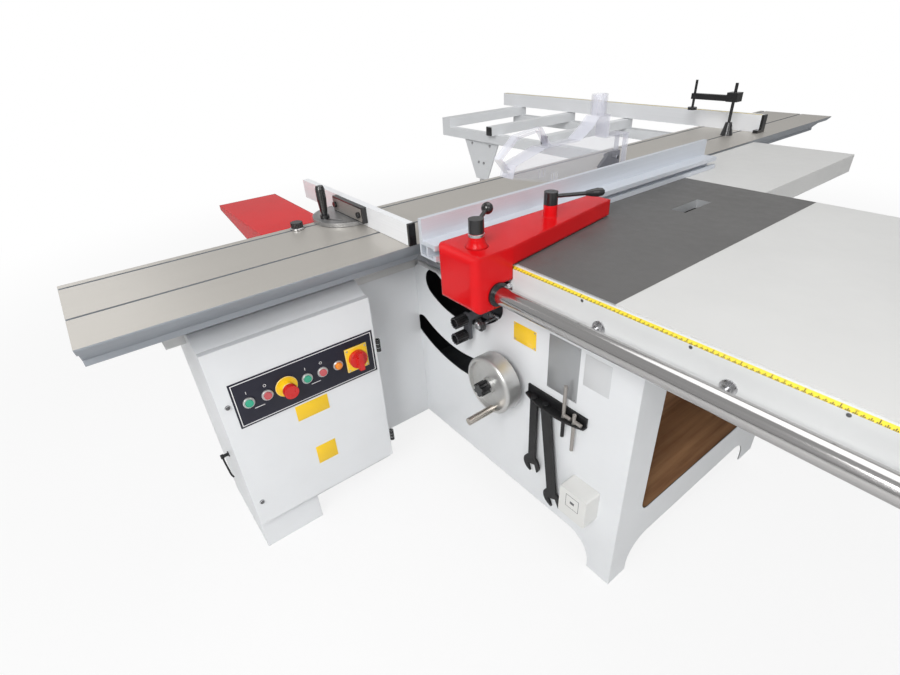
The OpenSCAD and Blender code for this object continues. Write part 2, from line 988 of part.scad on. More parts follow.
module miter_fence() {
  z = table_height + miter_lift;
  color("gainsboro") placed() slab_x(-miter_left, miter_left - miter_right - miter_end_t) difference() {
    translate([miter_y, z]) square([miter_fence_t, miter_fence_h]);
    translate([miter_y + rip_web, z + rip_web])
      square([miter_fence_t - 2 * rip_web, miter_fence_h - 2 * rip_web]);
  }
}

module miter_bracket() {
  z = table_height + miter_lift;
  low = [slot_left_x + bracket_x[0], miter_y - bracket_t, z + miter_t];
  high = [slot_left_x + bracket_x[1], miter_y, z + bracket_h];
  color("darkslategray") placed() {
    box(low, high);
    for (x = [low[0] + star_r * 2, high[0] - star_r * 2])
      rod_y([x, low[1] - star_t, (low[2] + high[2]) / 2], star_r, star_t);
    // End plate on the fence
    box([-miter_right - miter_end_t, miter_y, z], [-miter_right, miter_y + miter_fence_t, z + miter_fence_h]);
  }
}

module miter_grip() {
  foot = table_height + miter_lift + miter_t + slide_gap;
  color("black") placed() translate([slot_left_x, miter_y - miter_slot_r, 0]) {
    rod_z([0, 0, table_height - slot_lip], slot_pin_r, foot - table_height + slot_lip);
    rod_z([0, 0, foot], grip_body_r, grip_collar_h);
    translate([0, 0, foot + grip_collar_h]) rotate_extrude()
      polygon(spread(miter_grip_shares, grip_body_r, grip_body_h));
  }
}

// Outrigger and crosscut fence

outrigger_left = sliding_left - outrigger_reach;
outrigger_back = outrigger_y + outrigger_depth;
outrigger_beam_top = table_height - beam_drop;

module outrigger_frame() {
  color("whitesmoke") placed() {
    for (y = [outrigger_y, outrigger_back - beam_box[0]])
      box([outrigger_left, y, outrigger_beam_top - beam_box[1]],
        [sliding_left, y + beam_box[0], outrigger_beam_top]);
    box([outrigger_left, outrigger_y, outrigger_beam_top],
      [outrigger_left + rail_w, outrigger_back, table_height]);
    for (i = [0:tube_count - 1])
      translate([outrigger_left + tube_first + i * tube_pitch, 0, 0]) difference() {
        box([0, outrigger_y - tube_proud, outrigger_beam_top],
          [tube_w, outrigger_back, table_height - tube_drop]);
        box([tube_wall, outrigger_y - tube_proud - overrun, outrigger_beam_top + tube_wall],
          [tube_w - tube_wall, outrigger_back + overrun, table_height - tube_drop - tube_wall]);
      }
  }
}

module outrigger_bracket() {
  top = outrigger_beam_top - beam_box[1];
  middle = sliding_left - v_x - v_top / 2;
  color("lightgray") placed() slab_y(outrigger_y + beam_box[0] / 2 - v_t / 2, v_t) polygon([
    [middle - v_top / 2, top], [middle + v_top / 2, top],
    [middle + v_bottom / 2, top - v_depth], [middle - v_bottom / 2, top - v_depth]
  ]);
}

module crosscut_fence() {
  left = crosscut_right - crosscut_l;
  color("gainsboro") placed() {
    slab_x(left, crosscut_l - end_cap_t) difference() {
      translate([crosscut_y, table_height]) square([crosscut_t, crosscut_h]);
      translate([crosscut_y + rip_web, table_height + rip_web])
        square([crosscut_t - 2 * rip_web, crosscut_h - 2 * rip_web]);
    }
    // Pivot pin in the sliding table's right slot
    rod_z([slot_right_x, crosscut_y + crosscut_t / 2, table_height - slot_lip], slot_pin_r,
      slot_lip + rip_web / 2);
  }
}

module crosscut_end_foot() {
  color("black") placed() {
    box([crosscut_right - end_cap_t, crosscut_y, table_height],
      [crosscut_right, crosscut_y + crosscut_t, table_height + crosscut_h]);
    box([crosscut_right - end_foot[0], crosscut_y - end_foot[1] / 2, table_height],
      [crosscut_right, crosscut_y, table_height + end_foot[2]]);
  }
}

// Hold-down clamp

module hold_down_column() {
  color("black") placed() translate([slot_right_x, column_y, table_height]) {
    cylinder(r1 = column_foot_r[0], r2 = column_foot_r[1], h = column_foot_h);
    rod_z([0, 0, column_foot_h], column_r, column_h - column_foot_h);
  }
}

module hold_down_arm() {
  z = table_height + arm_height;
  color("black") placed() {
    difference() {
      translate([slot_right_x, column_y, z])
        box([-arm_block[0] / 2, -arm_block[1] / 2, 0], [arm_block[0] / 2, arm_block[1] / 2, arm_block[2]]);
      rod_z([slot_right_x, column_y, z - overrun], column_r + shaft_gap, arm_block[2] + 2 * overrun);
    }
    box([slot_left_x - arm_bar[0] / 2, column_y - arm_bar[0] / 2, z],
      [slot_right_x - arm_block[0] / 2, column_y + arm_bar[0] / 2, z + arm_bar[1]]);
    // Spindle with its pad, raised clear of the table
    rod_z([slot_left_x, column_y, table_height + pad_rise], pad_r, pad_h);
    rod_z([slot_left_x, column_y, table_height + pad_rise + pad_h], spindle_r,
      arm_height + arm_bar[1] + spindle_top - pad_rise - pad_h);
  }
}

// Rip fence and head

module rip_fence() {
  z = table_height + rip_lift;
  color("lightsteelblue") placed() slab_y(rip_front, rip_fence_l) difference() {
    union() {
      translate([rip_left, z]) square([rip_wall, rip_fence_h]);
      translate([rip_left, z]) square([rip_fence_w, rip_foot_h]);
    }
    for (i = [0:1])
      translate([rip_left + rip_web + i * (rip_chamber[0] + rip_web), z + rip_web])
        square([rip_chamber[0], rip_chamber[1]]);
    translate([rip_left + rip_fence_w - rip_slot[0], z + rip_slot_z - rip_slot[1] / 2])
      square([rip_slot[0] + overrun, rip_slot[1]]);
  }
}

module head_block() {
  w = head_back - head_front;
  h = head_top - head_bottom;
  intersection() {
    slab_x(head_left, head_w) translate([head_front, head_bottom]) {
      translate([0, head_round]) square([w, h - 2 * head_round]);
      translate([head_round, 0]) square([w - head_round, h]);
      for (z = [head_round, h - head_round])
        translate([head_round, z]) circle(head_round);
    }
    slab_z(head_bottom, h) translate([head_left, head_front]) {
      translate([0, head_round]) square([head_w, w - head_round]);
      translate([head_round, 0]) square([head_w - 2 * head_round, w]);
      for (x = [head_round, head_w - head_round])
        translate([x, head_round]) circle(head_round);
    }
  }
}

module rip_fence_head() {
  color("red") placed() {
    difference() {
      union() {
        head_block();
        slab_z(arm_bottom, head_top - arm_bottom) polygon([
          [head_left, head_back], [head_right, head_back],
          [head_left + arm_end_w, arm_end], [head_left, arm_end]
        ]);
        for (p = [head_lever_at, fence_lever_at])
          rod_z([p[0], p[1], head_top], boss_r, boss_h);
      }
      rod_x([head_left - overrun, bar_y, bar_z], bar_d / 2 + bore_gap, head_w + 2 * overrun);
      // Open back, so that the head passes the studs
      box([head_left - overrun, bar_y, bar_z - stud_way], [head_right + overrun, head_back + overrun,
        bar_z + stud_way]);
      for (p = [head_lever_at, fence_lever_at])
        rod_z([p[0], p[1], head_top - boss_h], lever_pin_r + shaft_gap, 2 * boss_h + overrun);
    }
    // Tongues in the side slot of the fence
    for (y = tongue_y)
      box([head_left - rip_slot[0] + tongue_gap, y, table_height + rip_lift + rip_slot_z - tongue_h / 2],
        [head_left, y + tongue_l, table_height + rip_lift + rip_slot_z + tongue_h / 2]);
  }
}

module head_bushes() {
  color("black") placed()
    for (x = [head_left - bush_t, head_right]) difference() {
      rod_x([x, bar_y, bar_z], bush_r, bush_t);
      rod_x([x - overrun, bar_y, bar_z], bar_d / 2 + bore_gap, bush_t + 2 * overrun);
      box([x - overrun, bar_y, bar_z - washer_r - overrun], [x + bush_t + overrun, bar_y + bush_r + overrun,
        bar_z + washer_r + overrun]);
    }
}

module lever_hub(at) {
  z = head_top + boss_h + slide_gap;
  rod_z([at[0], at[1], z], lever_hub_r, lever_hub_h);
  rod_z([at[0], at[1], z - boss_h], lever_pin_r, boss_h);
}

module head_clamp_lever() {
  z = head_top + boss_h + slide_gap + lever_hub_h * lever_share;
  run = norm(head_lever_reach);
  color("black") placed() {
    lever_hub(head_lever_at);
    translate([head_lever_at[0], head_lever_at[1], z])
      rotate([0, 0, atan2(head_lever_reach[1], head_lever_reach[0])])
        rotate([0, 90 - atan2(head_lever_climb, run), 0]) {
          cylinder(r = lever_rod_r, h = run);
          translate([0, 0, run]) sphere(head_ball_r);
        }
  }
}

module fence_clamp_lever() {
  z = head_top + boss_h + slide_gap + lever_hub_h * lever_share;
  run = norm(fence_lever_reach);
  color("black") placed() {
    lever_hub(fence_lever_at);
    translate([fence_lever_at[0], fence_lever_at[1], z])
      rotate([0, 0, atan2(fence_lever_reach[1], fence_lever_reach[0])]) rotate([0, 90, 0]) {
        cylinder(r = lever_rod_r, h = run - grip_l);
        translate([0, 0, run - grip_l]) rotate_extrude() polygon(spread(lever_grip_shares, grip_r, grip_l));
      }
  }
}

// Tilting saw unit

module trunnion_guides() {
  color("slategray") placed()
    for (y = trunnion_y) translate([0, 0, table_height]) slab_y(y, trunnion_t) {
      ring_part(trunnion_r[1] + slide_gap, trunnion_r[1] + guide_w, guide_angles[0], guide_angles[1]);
      // Leg from the guide up to the table
      difference() {
        translate([guide_leg[0], -guide_leg[1]])
          square([trunnion_r[1] + guide_w - guide_leg[0], guide_leg[1] - main_table_plate]);
        circle(trunnion_r[1] + slide_gap);
      }
    }
}

// Shaft holes for the two scoring adjusters
module adjuster_holes() {
  for (p = knob_at)
    rod_y([p[0], adjuster_y - overrun, p[1]], stem_r + shaft_gap, adjuster_t + 2 * overrun);
}

module tilt_frame() {
  top = table_height - frame_top_drop;
  bottom = table_height - frame_bottom_drop;
  back = trunnion_y[1] + trunnion_t;
  color("darkslategray") placed() difference() {
    union() {
      // Trunnion shoes
      for (y = trunnion_y) translate([0, 0, table_height]) slab_y(y, trunnion_t)
        ring_part(trunnion_r[0], trunnion_r[1], trunnion_angles[0], trunnion_angles[1]);
      // Side plate with a notch for the arbor housing and a way round the fixed guides
      difference() {
        box([frame_x, trunnion_y[0], bottom], [frame_x + frame_t, back, top]);
        box([frame_x - overrun, blade_y - notch_w / 2, top - notch_depth],
          [frame_x + frame_t + overrun, blade_y + notch_w / 2, top + overrun]);
        for (y = trunnion_y) translate([0, 0, table_height])
          slab_y(y - overrun, trunnion_t + 2 * overrun) difference() {
            circle(trunnion_r[1] + guide_w + overrun);
            circle(trunnion_r[1]);
          }
      }
      // Housing of the scoring shaft
      rod_x([scoring_housing_x, scoring_y, scoring_z], scoring_housing_r, frame_x - scoring_housing_x);
      // Yoke with the handwheel hub
      box([frame_x, yoke_y, bottom], [hub_at[0] + hub_r, yoke_y + yoke_t, hub_at[1] + hub_r]);
      rod_y([hub_at[0], yoke_y, hub_at[1]], hub_r, hub_l);
      // Bracket of the scoring adjusters, reaching through the upper slot
      box([knob_at[0][0] - adjuster_r, yoke_y, knob_at[0][1] - adjuster_r],
        [frame_x + frame_t, yoke_y + yoke_t, knob_at[0][1] + adjuster_r]);
      rod_y([knob_at[0][0], adjuster_y + adjuster_t, knob_at[0][1]], adjuster_r,
        yoke_y - adjuster_y - adjuster_t);
      box([knob_at[1][0] - adjuster_r, adjuster_y, knob_at[1][1] - adjuster_r],
        [knob_at[0][0] + adjuster_r, adjuster_y + adjuster_t, knob_at[0][1] + adjuster_r]);
    }
    rod_x([scoring_housing_x - overrun, scoring_y, scoring_z], scoring_shaft_r + shaft_gap,
      frame_x + frame_t - scoring_housing_x + 2 * overrun);
    rod_y([hub_at[0], yoke_y - overrun, hub_at[1]], wheel_shaft_r + shaft_gap, hub_l + 2 * overrun);
    adjuster_holes();
  }
}

module adjuster_knob(at) {
  color("black") placed() {
    translate([at[0], 0, at[1]]) difference() {
      slab_y(knob_y[0], knob_y[1] - knob_y[0]) fluted(knob_r, knob_flutes, flute_r);
      rod_y([0, knob_y[0] - overrun, 0], knob_hollow_r, knob_hollow + overrun);
    }
    rod_y([at[0], knob_y[1], at[1]], stem_r, adjuster_y + adjuster_t - knob_y[1]);
  }
}

module scoring_knob_upper() {
  adjuster_knob(knob_at[0]);
}

module scoring_knob_lower() {
  adjuster_knob(knob_at[1]);
}

// Loop of belt round two equal pulleys, the second one run away and turned
module belt_loop(r, run) {
  module pill(pill_r) {
    circle(pill_r);
    translate([run, 0]) circle(pill_r);
    translate([0, -pill_r]) square([run, 2 * pill_r]);
  }
  difference() {
    pill(r + belt_gap + belt_t);
    pill(r + belt_gap);
  }
}

module scoring_motor() {
  start = frame_x + frame_t;
  z = table_height - scoring_motor_drop;
  color("dimgray") placed() {
    rod_x([start, scoring_y, z], scoring_pulley_r, scoring_motor_gap);
    rod_x([start + scoring_motor_gap, scoring_y, z], scoring_motor_d / 2, scoring_motor_l);
    translate([0, scoring_y, z]) slab_x(start + scoring_pulley_clear, scoring_pulley_w)
      rotate(90) belt_loop(scoring_pulley_r, scoring_z - z);
  }
}

module scoring_blade() {
  left = -scoring_t / 2;
  shaft_end = frame_x + frame_t + scoring_pulley_clear + scoring_pulley_w;
  color("silver") placed() {
    translate([0, scoring_y, scoring_z]) slab_x(left, scoring_t)
      toothed(scoring_d / 2, scoring_teeth, scoring_tooth);
    rod_x([left - scoring_nut_l, scoring_y, scoring_z], scoring_nut_r, scoring_nut_l);
    rod_x([-left, scoring_y, scoring_z], scoring_nut_r, scoring_housing_x - slide_gap + left);
    rod_x([-left, scoring_y, scoring_z], scoring_shaft_r, shaft_end + left);
    rod_x([shaft_end - scoring_pulley_w, scoring_y, scoring_z], scoring_pulley_r, scoring_pulley_w);
  }
}

// Disc with a row of shallow gullets round its edge
module toothed(r, count, depth) {
  difference() {
    circle(r);
    for (i = [0:count - 1])
      rotate(360 * i / count) translate([r, 0]) rotate(gullet_angle)
        square([2 * depth, depth], center = true);
  }
}

// Rise carriage with the arbor, the motor and the riving knife

module rise_carriage() {
  arm_z0 = arbor_z - knife_arm_drop;
  motor_bottom = table_height + motor_at[1] - motor_d / 2;
  color("darkslategray") placed() {
    difference() {
      union() {
        box([carriage_x, rise_plate_y[0], motor_bottom - motor_foot_t],
          [carriage_x + rise_plate_t, rise_plate_y[1], table_height - rise_plate_drop]);
        rod_x([housing_x[0], blade_y, arbor_z], housing_r, housing_x[1] - housing_x[0]);
      }
      rod_x([housing_x[0] - overrun, blade_y, arbor_z], arbor_d / 2 + shaft_gap,
        housing_x[1] - housing_x[0] + 2 * overrun);
    }
    // Seat of the motor
    box([carriage_x + rise_plate_t, motor_at[0] - motor_foot_w / 2, motor_bottom - motor_foot_t],
      [motor_x + motor_l, motor_at[0] + motor_foot_w / 2, motor_bottom]);
    // Arm and clamp of the riving knife
    difference() {
      box([housing_x[0], blade_y, arm_z0], [housing_x[0] + knife_arm_t, knife_back, arm_z0 + knife_arm_h]);
      rod_x([housing_x[0] - overrun, blade_y, arbor_z], housing_r, knife_arm_t + 2 * overrun);
    }
    box([knife_t / 2, knife_back - knife_clamp_w, arm_z0], [housing_x[0], knife_back, arm_z0 + knife_arm_h]);
  }
}

module riving_knife() {
  inner = blade_d / 2 + knife_gap;
  color("gray") placed() translate([0, blade_y, arbor_z]) slab_x(-knife_t / 2, knife_t) intersection() {
    ring_part(inner, inner + knife_w, knife_angles[0], knife_angles[1]);
    translate([0, -blade_d]) square([blade_d, blade_d + table_height + knife_top - arbor_z]);
  }
}

module main_motor() {
  z = table_height + motor_at[1];
  color("slategray") placed() {
    rod_x([motor_x, motor_at[0], z], motor_d / 2 - fin_h, motor_l);
    translate([0, motor_at[0], z]) slab_x(motor_x + fin_inset, motor_l - 2 * fin_inset)
      for (i = [0:fin_count - 1])
        rotate(360 * i / fin_count) translate([0, -fin_t / 2]) square([motor_d / 2 - slide_gap, fin_t]);
    box([motor_x + fin_inset, motor_at[0] - motor_pad / 2, z - motor_d / 2],
      [motor_x + motor_l - fin_inset, motor_at[0] + motor_pad / 2, z - motor_d / 4]);
  }
}

module motor_pulley() {
  z = table_height + motor_at[1];
  color("silver") placed() {
    rod_x([pulley_x[0], motor_at[0], z], pulley_d / 2, pulley_x[1] - pulley_x[0]);
    rod_x([pulley_x[1], motor_at[0], z], motor_shaft_r, motor_x - slide_gap - pulley_x[1]);
  }
}

module drive_belt() {
  across = motor_at[0] - blade_y;
  down = table_height + motor_at[1] - arbor_z;
  color("black") placed() translate([0, blade_y, arbor_z])
    slab_x(pulley_x[0] + belt_inset, pulley_x[1] - pulley_x[0] - 2 * belt_inset)
      rotate(atan2(down, across)) belt_loop(pulley_d / 2, norm([across, down]));
}

module saw_arbor() {
  left = -blade_t / 2;
  color("silver") placed() {
    rod_x([-left, blade_y, arbor_z], arbor_d / 2, pulley_x[0] + left);
    rod_x([-left, blade_y, arbor_z], flange_r, housing_x[0] - slide_gap + left);
    rod_x([left - flange_t, blade_y, arbor_z], flange_r, flange_t);
    translate([left - flange_t - arbor_nut_l, blade_y, arbor_z]) rotate([0, 90, 0])
      cylinder(r = arbor_nut_r, h = arbor_nut_l, $fn = 6);
    rod_x([pulley_x[0], blade_y, arbor_z], pulley_d / 2, pulley_x[1] - pulley_x[0]);
  }
}

module saw_blade() {
  color("lightgray") placed() translate([0, blade_y, arbor_z])
    slab_x(-blade_t / 2, blade_t) toothed(blade_d / 2, blade_teeth, blade_tooth);
}

// Handwheel

// Half section of the wheel with its front face at the bottom and the rim's front edge rounded
module wheel_section() {
  square([wheel_r - wheel_round, wheel_depth]);
  translate([0, wheel_round]) square([wheel_r, wheel_depth - wheel_round]);
  translate([wheel_r - wheel_round, wheel_round]) circle(wheel_round);
}

module handwheel() {
  front = wheel_back - wheel_depth;
  color("silver") placed() {
    translate([hub_at[0], 0, hub_at[1]]) difference() {
      translate([0, front, 0]) rotate([-90, 0, 0]) rotate_extrude() wheel_section();
      // Dished face between the rim and the hub
      difference() {
        rod_y([0, front - overrun, 0], wheel_r - wheel_wall, wheel_dish + overrun);
        rod_y([0, front - 2 * overrun, 0], wheel_hub_r, wheel_dish + 4 * overrun);
      }
      rod_y([0, front + wheel_web + wheel_dish, 0], wheel_r - wheel_wall, wheel_depth);
      rod_y([crank_at[0], front - overrun, crank_at[1]], crank_pin_r + shaft_gap, wheel_depth);
      rod_y([0, front - overrun, 0], stem_r + shaft_gap, lock_stem_l + 2 * overrun);
    }
    rod_y([hub_at[0], front + wheel_web + wheel_dish, hub_at[1]], wheel_hub_r,
      wheel_depth - wheel_web - wheel_dish);
    rod_y([hub_at[0], wheel_back, hub_at[1]], wheel_shaft_r, yoke_y + hub_l - wheel_back);
  }
}

module handwheel_handle() {
  front = wheel_back - wheel_depth - slide_gap;
  color("silver") placed() translate([hub_at[0] + crank_at[0], 0, hub_at[1] + crank_at[1]]) {
    rod_y([0, front - crank_l, 0], crank_r, crank_l);
    rod_y([0, front, 0], crank_pin_r, wheel_dish + wheel_web + slide_gap);
  }
}

module handwheel_knob() {
  front = wheel_back - wheel_depth - slide_gap;
  color("black") placed() translate([hub_at[0], 0, hub_at[1]]) {
    slab_y(front - lock_knob_l, lock_knob_l) fluted(lock_knob_r, lock_lobes, lock_lobe_r);
    rod_y([0, front, 0], stem_r, lock_stem_l);
  }
}

// Control cabinet

module cabinet_outline() {
  polygon([
    [-body_left, cabinet_foot_h], [-cabinet_front, cabinet_foot_h], [-cabinet_front, door_top + door_gap],
    [-cabinet_crown_back, cabinet_crown], [-bridge_x, cabinet_crown], [-bridge_x, deck_height],
    [-body_left, deck_height]
  ]);
}

module control_cabinet() {
  color("whitesmoke") placed() {
    difference() {
      slab_y(-cabinet_far, cabinet_w) cabinet_outline();
      // Room behind the door, and the doorway above the frame
      box([-body_left + cabinet_wall, -cabinet_far + cabinet_wall, cabinet_foot_h + cabinet_wall],
        [-cabinet_front - cabinet_wall, -cabinet_near - cabinet_wall, deck_height - cabinet_wall]);
      box([-cabinet_front - 2 * cabinet_wall, -cabinet_far + cabinet_wall, cabinet_foot_h + cabinet_frame],
        [-cabinet_front + overrun, -cabinet_near - cabinet_wall, deck_height - cabinet_wall]);
    }
    // Foot
    difference() {
      box([-body_left, -cabinet_far, 0], [-cabinet_front, -cabinet_far + cabinet_foot_l, cabinet_foot_h]);
      box([-body_left + cabinet_wall, -cabinet_far + cabinet_wall, -overrun],
        [-cabinet_front - cabinet_wall, -cabinet_far + cabinet_foot_l - cabinet_wall, cabinet_foot_h]);
    }
    // Fixed hinge leaves and pins
    for (z = hinge_z) {
      for (side = [-1, 1]) translate([0, 0, z + side * hinge_h - hinge_h / 2]) {
        rod_z([-cabinet_face, door_hinge_y, 0], hinge_r, hinge_h);
        box([-cabinet_face - hinge_leaf, -cabinet_near, 0],
          [-cabinet_face, -cabinet_near + hinge_leaf_t, hinge_h]);
      }
      rod_z([-cabinet_face, door_hinge_y, z - hinge_h / 2 - slide_gap], hinge_pin_r, hinge_h + 2 * slide_gap);
    }
  }
}

// Round hole through the door's panel
module door_hole(y, r) {
  rod_x([-cabinet_face - door_t, y, control_z], r, 2 * door_t);
}

module cabinet_door() {
  back = -cabinet_front + door_gap;
  color("whitesmoke") placed() {
    difference() {
      union() {
        difference() {
          box([back, -cabinet_far, door_bottom], [-cabinet_face, -cabinet_near, door_top]);
          box([back - overrun, -cabinet_far + door_sheet, door_bottom + door_sheet],
            [-cabinet_face - door_sheet, -cabinet_near - door_sheet, door_top - door_sheet]);
        }
        box([-cabinet_face, panel_y[0], panel_z[0]], [panel_face, panel_y[1], panel_z[1]]);
        for (i = button_places)
          rod_x([panel_face, control_y[i], control_z], bezel_r, bezel_h);
        rod_x([panel_face, control_y[lamp_place], control_z], button_r, lamp_h);
        rod_x([panel_face, control_y[stop_place], control_z], stop_plate_r, stop_plate_t);
        rod_x([panel_face, control_y[stop_place], control_z], stop_collar_r, stop_collar_h);
        translate([0, control_y[switch_place], control_z])
          box([panel_face, -switch_plate[0] / 2, -switch_plate[1] / 2],
            [panel_face + switch_plate_t, switch_plate[0] / 2, switch_plate[1] / 2]);
        for (z = lock_z)
          rod_x([-cabinet_face, lock_y, z], lock_r, lock_t);
      }
      for (i = button_places)
        door_hole(control_y[i], button_r + button_gap);
      door_hole(control_y[stop_place], stop_stem_r + button_gap);
      door_hole(control_y[switch_place], switch_stem_r + shaft_gap);
    }
    // Turning hinge leaves
    for (z = hinge_z) translate([0, 0, z - hinge_h / 2 + slide_gap]) difference() {
      union() {
        rod_z([-cabinet_face, door_hinge_y, 0], hinge_r, hinge_h - 2 * slide_gap);
        box([-cabinet_face - hinge_r, -cabinet_near, 0],
          [-cabinet_face, door_hinge_y, hinge_h - 2 * slide_gap]);
      }
      rod_z([-cabinet_face, door_hinge_y, -overrun], hinge_pin_r + shaft_gap, hinge_h + 2 * overrun);
    }
  }
}

module push_button(place, shade) {
  color(shade) placed()
    rod_x([panel_face + bezel_h + button_proud - button_depth, control_y[place], control_z], button_r,
      button_depth);
}

module start_button_a() {
  push_button(button_places[0], "green");
}

module stop_button_a() {
  push_button(button_places[1], "red");
}

module start_button_b() {
  push_button(button_places[2], "green");
}

module stop_button_b() {
  push_button(button_places[3], "red");
}

module emergency_stop() {
  head = panel_face + stop_collar_h + stop_travel;
  color("red") placed() {
    rod_x([-cabinet_face - stop_stem_in, control_y[stop_place], control_z], stop_stem_r,
      head + cabinet_face + stop_stem_in);
    rod_x([head, control_y[stop_place], control_z], stop_head_r, stop_head_h);
  }
}

module main_switch() {
  seat = panel_face + switch_plate_t + slide_gap;
  color("red") placed() translate([0, control_y[switch_place], control_z]) {
    rod_x([-cabinet_face - switch_stem_in, 0, 0], switch_stem_r, seat + cabinet_face + switch_stem_in);
    rod_x([seat, 0, 0], switch_r, switch_h);
    box([seat + switch_h, -switch_grip[1] / 2, -switch_grip[0] / 2],
      [seat + switch_h + switch_grip[2], switch_grip[1] / 2, switch_grip[0] / 2]);
  }
}

// Blade guard

guard_points = [
  [guard_rear, guard_bottom], [guard_lift_y, guard_bottom], [guard_front, table_height + guard_nose[0]],
  [guard_front + guard_nose_lean, table_height + guard_nose[1]], [guard_crest_y[0], guard_top],
  [guard_crest_y[1], guard_top], [guard_chimney[0], guard_chimney_top - guard_chimney_cut],
  [guard_chimney[0] + guard_chimney_cut, guard_chimney_top], [guard_chimney[1], guard_chimney_top],
  [guard_chimney[1], guard_shoulder], [guard_rear, guard_shoulder]
];
// Each outline point's step to the inner face, counted in wall thicknesses
guard_steps = [
  [-1, -2], [0, -2], [1, -2], [1, -1], [0, -1], [0, -1], [1, -0.5], [0.5, -1], [-1, -1], [-1, -1], [-1, -1]
];

// Bent strip of even thickness along a path, mitred at each bend
function unit(v) = v / norm(v);
function left_of(v) = [-v[1], v[0]];
function run_in(path, i) = unit(path[max(i, 1)] - path[max(i, 1) - 1]);
function run_out(path, i) = unit(path[min(i + 1, len(path) - 1)] - path[min(i, len(path) - 2)]);
function miter(path, i) = left_of(unit(run_in(path, i) + run_out(path, i)));
function strip_side(path, i, reach) =
  path[i] + reach * miter(path, i) / (miter(path, i) * left_of(run_in(path, i)));
function strip(path, t) = concat(
  [for (i = [0:len(path) - 1]) strip_side(path, i, t / 2)],
  [for (i = [len(path) - 1:-1:0]) strip_side(path, i, -t / 2)]
);

module guard_handle() {
  at = [for (i = [0:len(handle_y) - 1]) [guard_front + handle_y[i], table_height + handle_z[i]]];
  slab_x(-handle_w / 2, handle_w) polygon(strip(at, handle_t));
}

module guard_hood() {
  slot = post_t / 2 + post_slack;
  chimney_middle = (guard_chimney[0] + guard_chimney_cut + guard_chimney[1]) / 2;
  color("lightcyan", 0.4) placed() {
    difference() {
      union() {
        slab_x(-guard_w / 2, guard_w) polygon(guard_points);
        guard_handle();
        rod_z([0, chimney_middle, guard_chimney_top - guard_wall], outlet_r, guard_wall + outlet_h);
      }
      slab_x(-guard_w / 2 + guard_wall, guard_w - 2 * guard_wall)
        polygon([for (i = [0:len(guard_points) - 1]) guard_points[i] + guard_wall * guard_steps[i]]);
      rod_z([0, chimney_middle, guard_chimney_top - 2 * guard_wall], outlet_r - outlet_wall,
        2 * guard_wall + outlet_h + overrun);
      // Way for the post when the hood swings up
      box([-slot, post_y[0] - post_slack, guard_bottom - overrun],
        [slot, guard_rear + overrun, guard_shoulder - guard_wall]);
      rod_x([-guard_w, pivot_at[0], pivot_at[1]], pivot_r + shaft_gap, 2 * guard_w);
      for (y = guard_slot_y)
        box([-guard_w, y, guard_bottom + guard_slot_rise],
          [guard_w, y + guard_slot[0], guard_bottom + guard_slot_rise + guard_slot[1]]);
    }
  }
}

module guard_post() {
  color("dimgray") placed() {
    slab_x(-post_t / 2, post_t) polygon([
      [post_y[0], table_height], [post_y[1], table_height], [post_y[1], post_top], [post_y[0], post_top],
      [post_tip_y, table_height + post_tip_rise]
    ]);
    box([-post_t / 2, post_y[0], table_height], [post_foot_w, post_y[1], table_height + post_foot_t]);
    rod_x([-guard_w / 2, pivot_at[0], pivot_at[1]], pivot_r, guard_w);
  }
}

// Tools and boxes on the front of the body

module tool_shelf() {
  sag = tray_depth - tray_end_depth;
  bow_r = (tray_w * tray_w / 4 + sag * sag) / (2 * sag);
  color("black") placed() {
    // Plate with a bowed front edge and holes for the tools
    slab_z(tray_z, tray_t) difference() {
      intersection() {
        translate([tray_left, body_front - tray_depth]) square([tray_w, tray_depth]);
        translate([tray_left + tray_w / 2, body_front - tray_depth + bow_r]) circle(bow_r);
      }
      for (x = hang_x)
        translate([x, body_front - tray_hole_in]) circle(tray_hole_r);
    }
    translate([tray_left, body_front, tray_z]) box([0, -tray_t, 0], [tray_w, 0, tray_back_h]);
  }
}

// Flat wrench hanging down from the origin, with a slanted open jaw at its lower end
module wrench(w, l, head_r) {
  jaw = head_r * wrench_jaw_shares;
  difference() {
    union() {
      translate([-w / 2, -l]) square([w, l]);
      translate([0, -l]) circle(head_r);
    }
    translate([0, -l]) rotate(wrench_jaw_angle) translate([-jaw[0] / 2, -jaw[1]]) square(jaw);
  }
}

// Peg that carries a wrench through the shelf
module wrench_peg() {
  rod_z([0, 0, -2 * wrench_hang], tray_hole_r - slide_gap, tray_t + 2 * wrench_hang);
  rod_z([0, 0, tray_t], tray_hole_in - tray_t - slide_gap, tray_t);
}

// Bent key standing in a hole of the shelf
module hex_key(l, proud) {
  rod_z([0, 0, tray_t + proud - l], key_r, l);
  rod_x([0, 0, tray_t + key_r], key_r, key_bend);
}

module hanging_tools() {
  color("dimgray") placed() translate([0, body_front - tray_hole_in, tray_z]) {
    translate([hang_x[0], 0, 0]) {
      wrench_peg();
      translate([0, 0, -wrench_hang]) slab_y(-wrench_t / 2, wrench_t)
        wrench(short_wrench_w, short_wrench_l, short_wrench_head_r);
    }
    translate([hang_x[1], 0, 0]) {
      wrench_peg();
      translate([0, 0, -wrench_hang]) rotate([0, -wrench_lean_angle, 0]) slab_y(-wrench_t / 2, wrench_t)
        wrench(long_wrench_w, long_wrench_l, long_wrench_head_r);
    }
    translate([hang_x[2], 0, 0]) hex_key(long_key_l, long_key_proud);
    translate([hang_x[3], 0, 0]) hex_key(short_key_l, short_key_proud);
  }
}

module junction_box() {
  at = [junction_x, body_front - junction_size[1], tray_z - junction_below];
  color("gainsboro") placed() {
    slab_y(at[1], junction_size[1]) translate([at[0], at[2]])
      rounded_square([junction_size[0], junction_size[2]], junction_round);
  }
}

// Telescopic swing arm

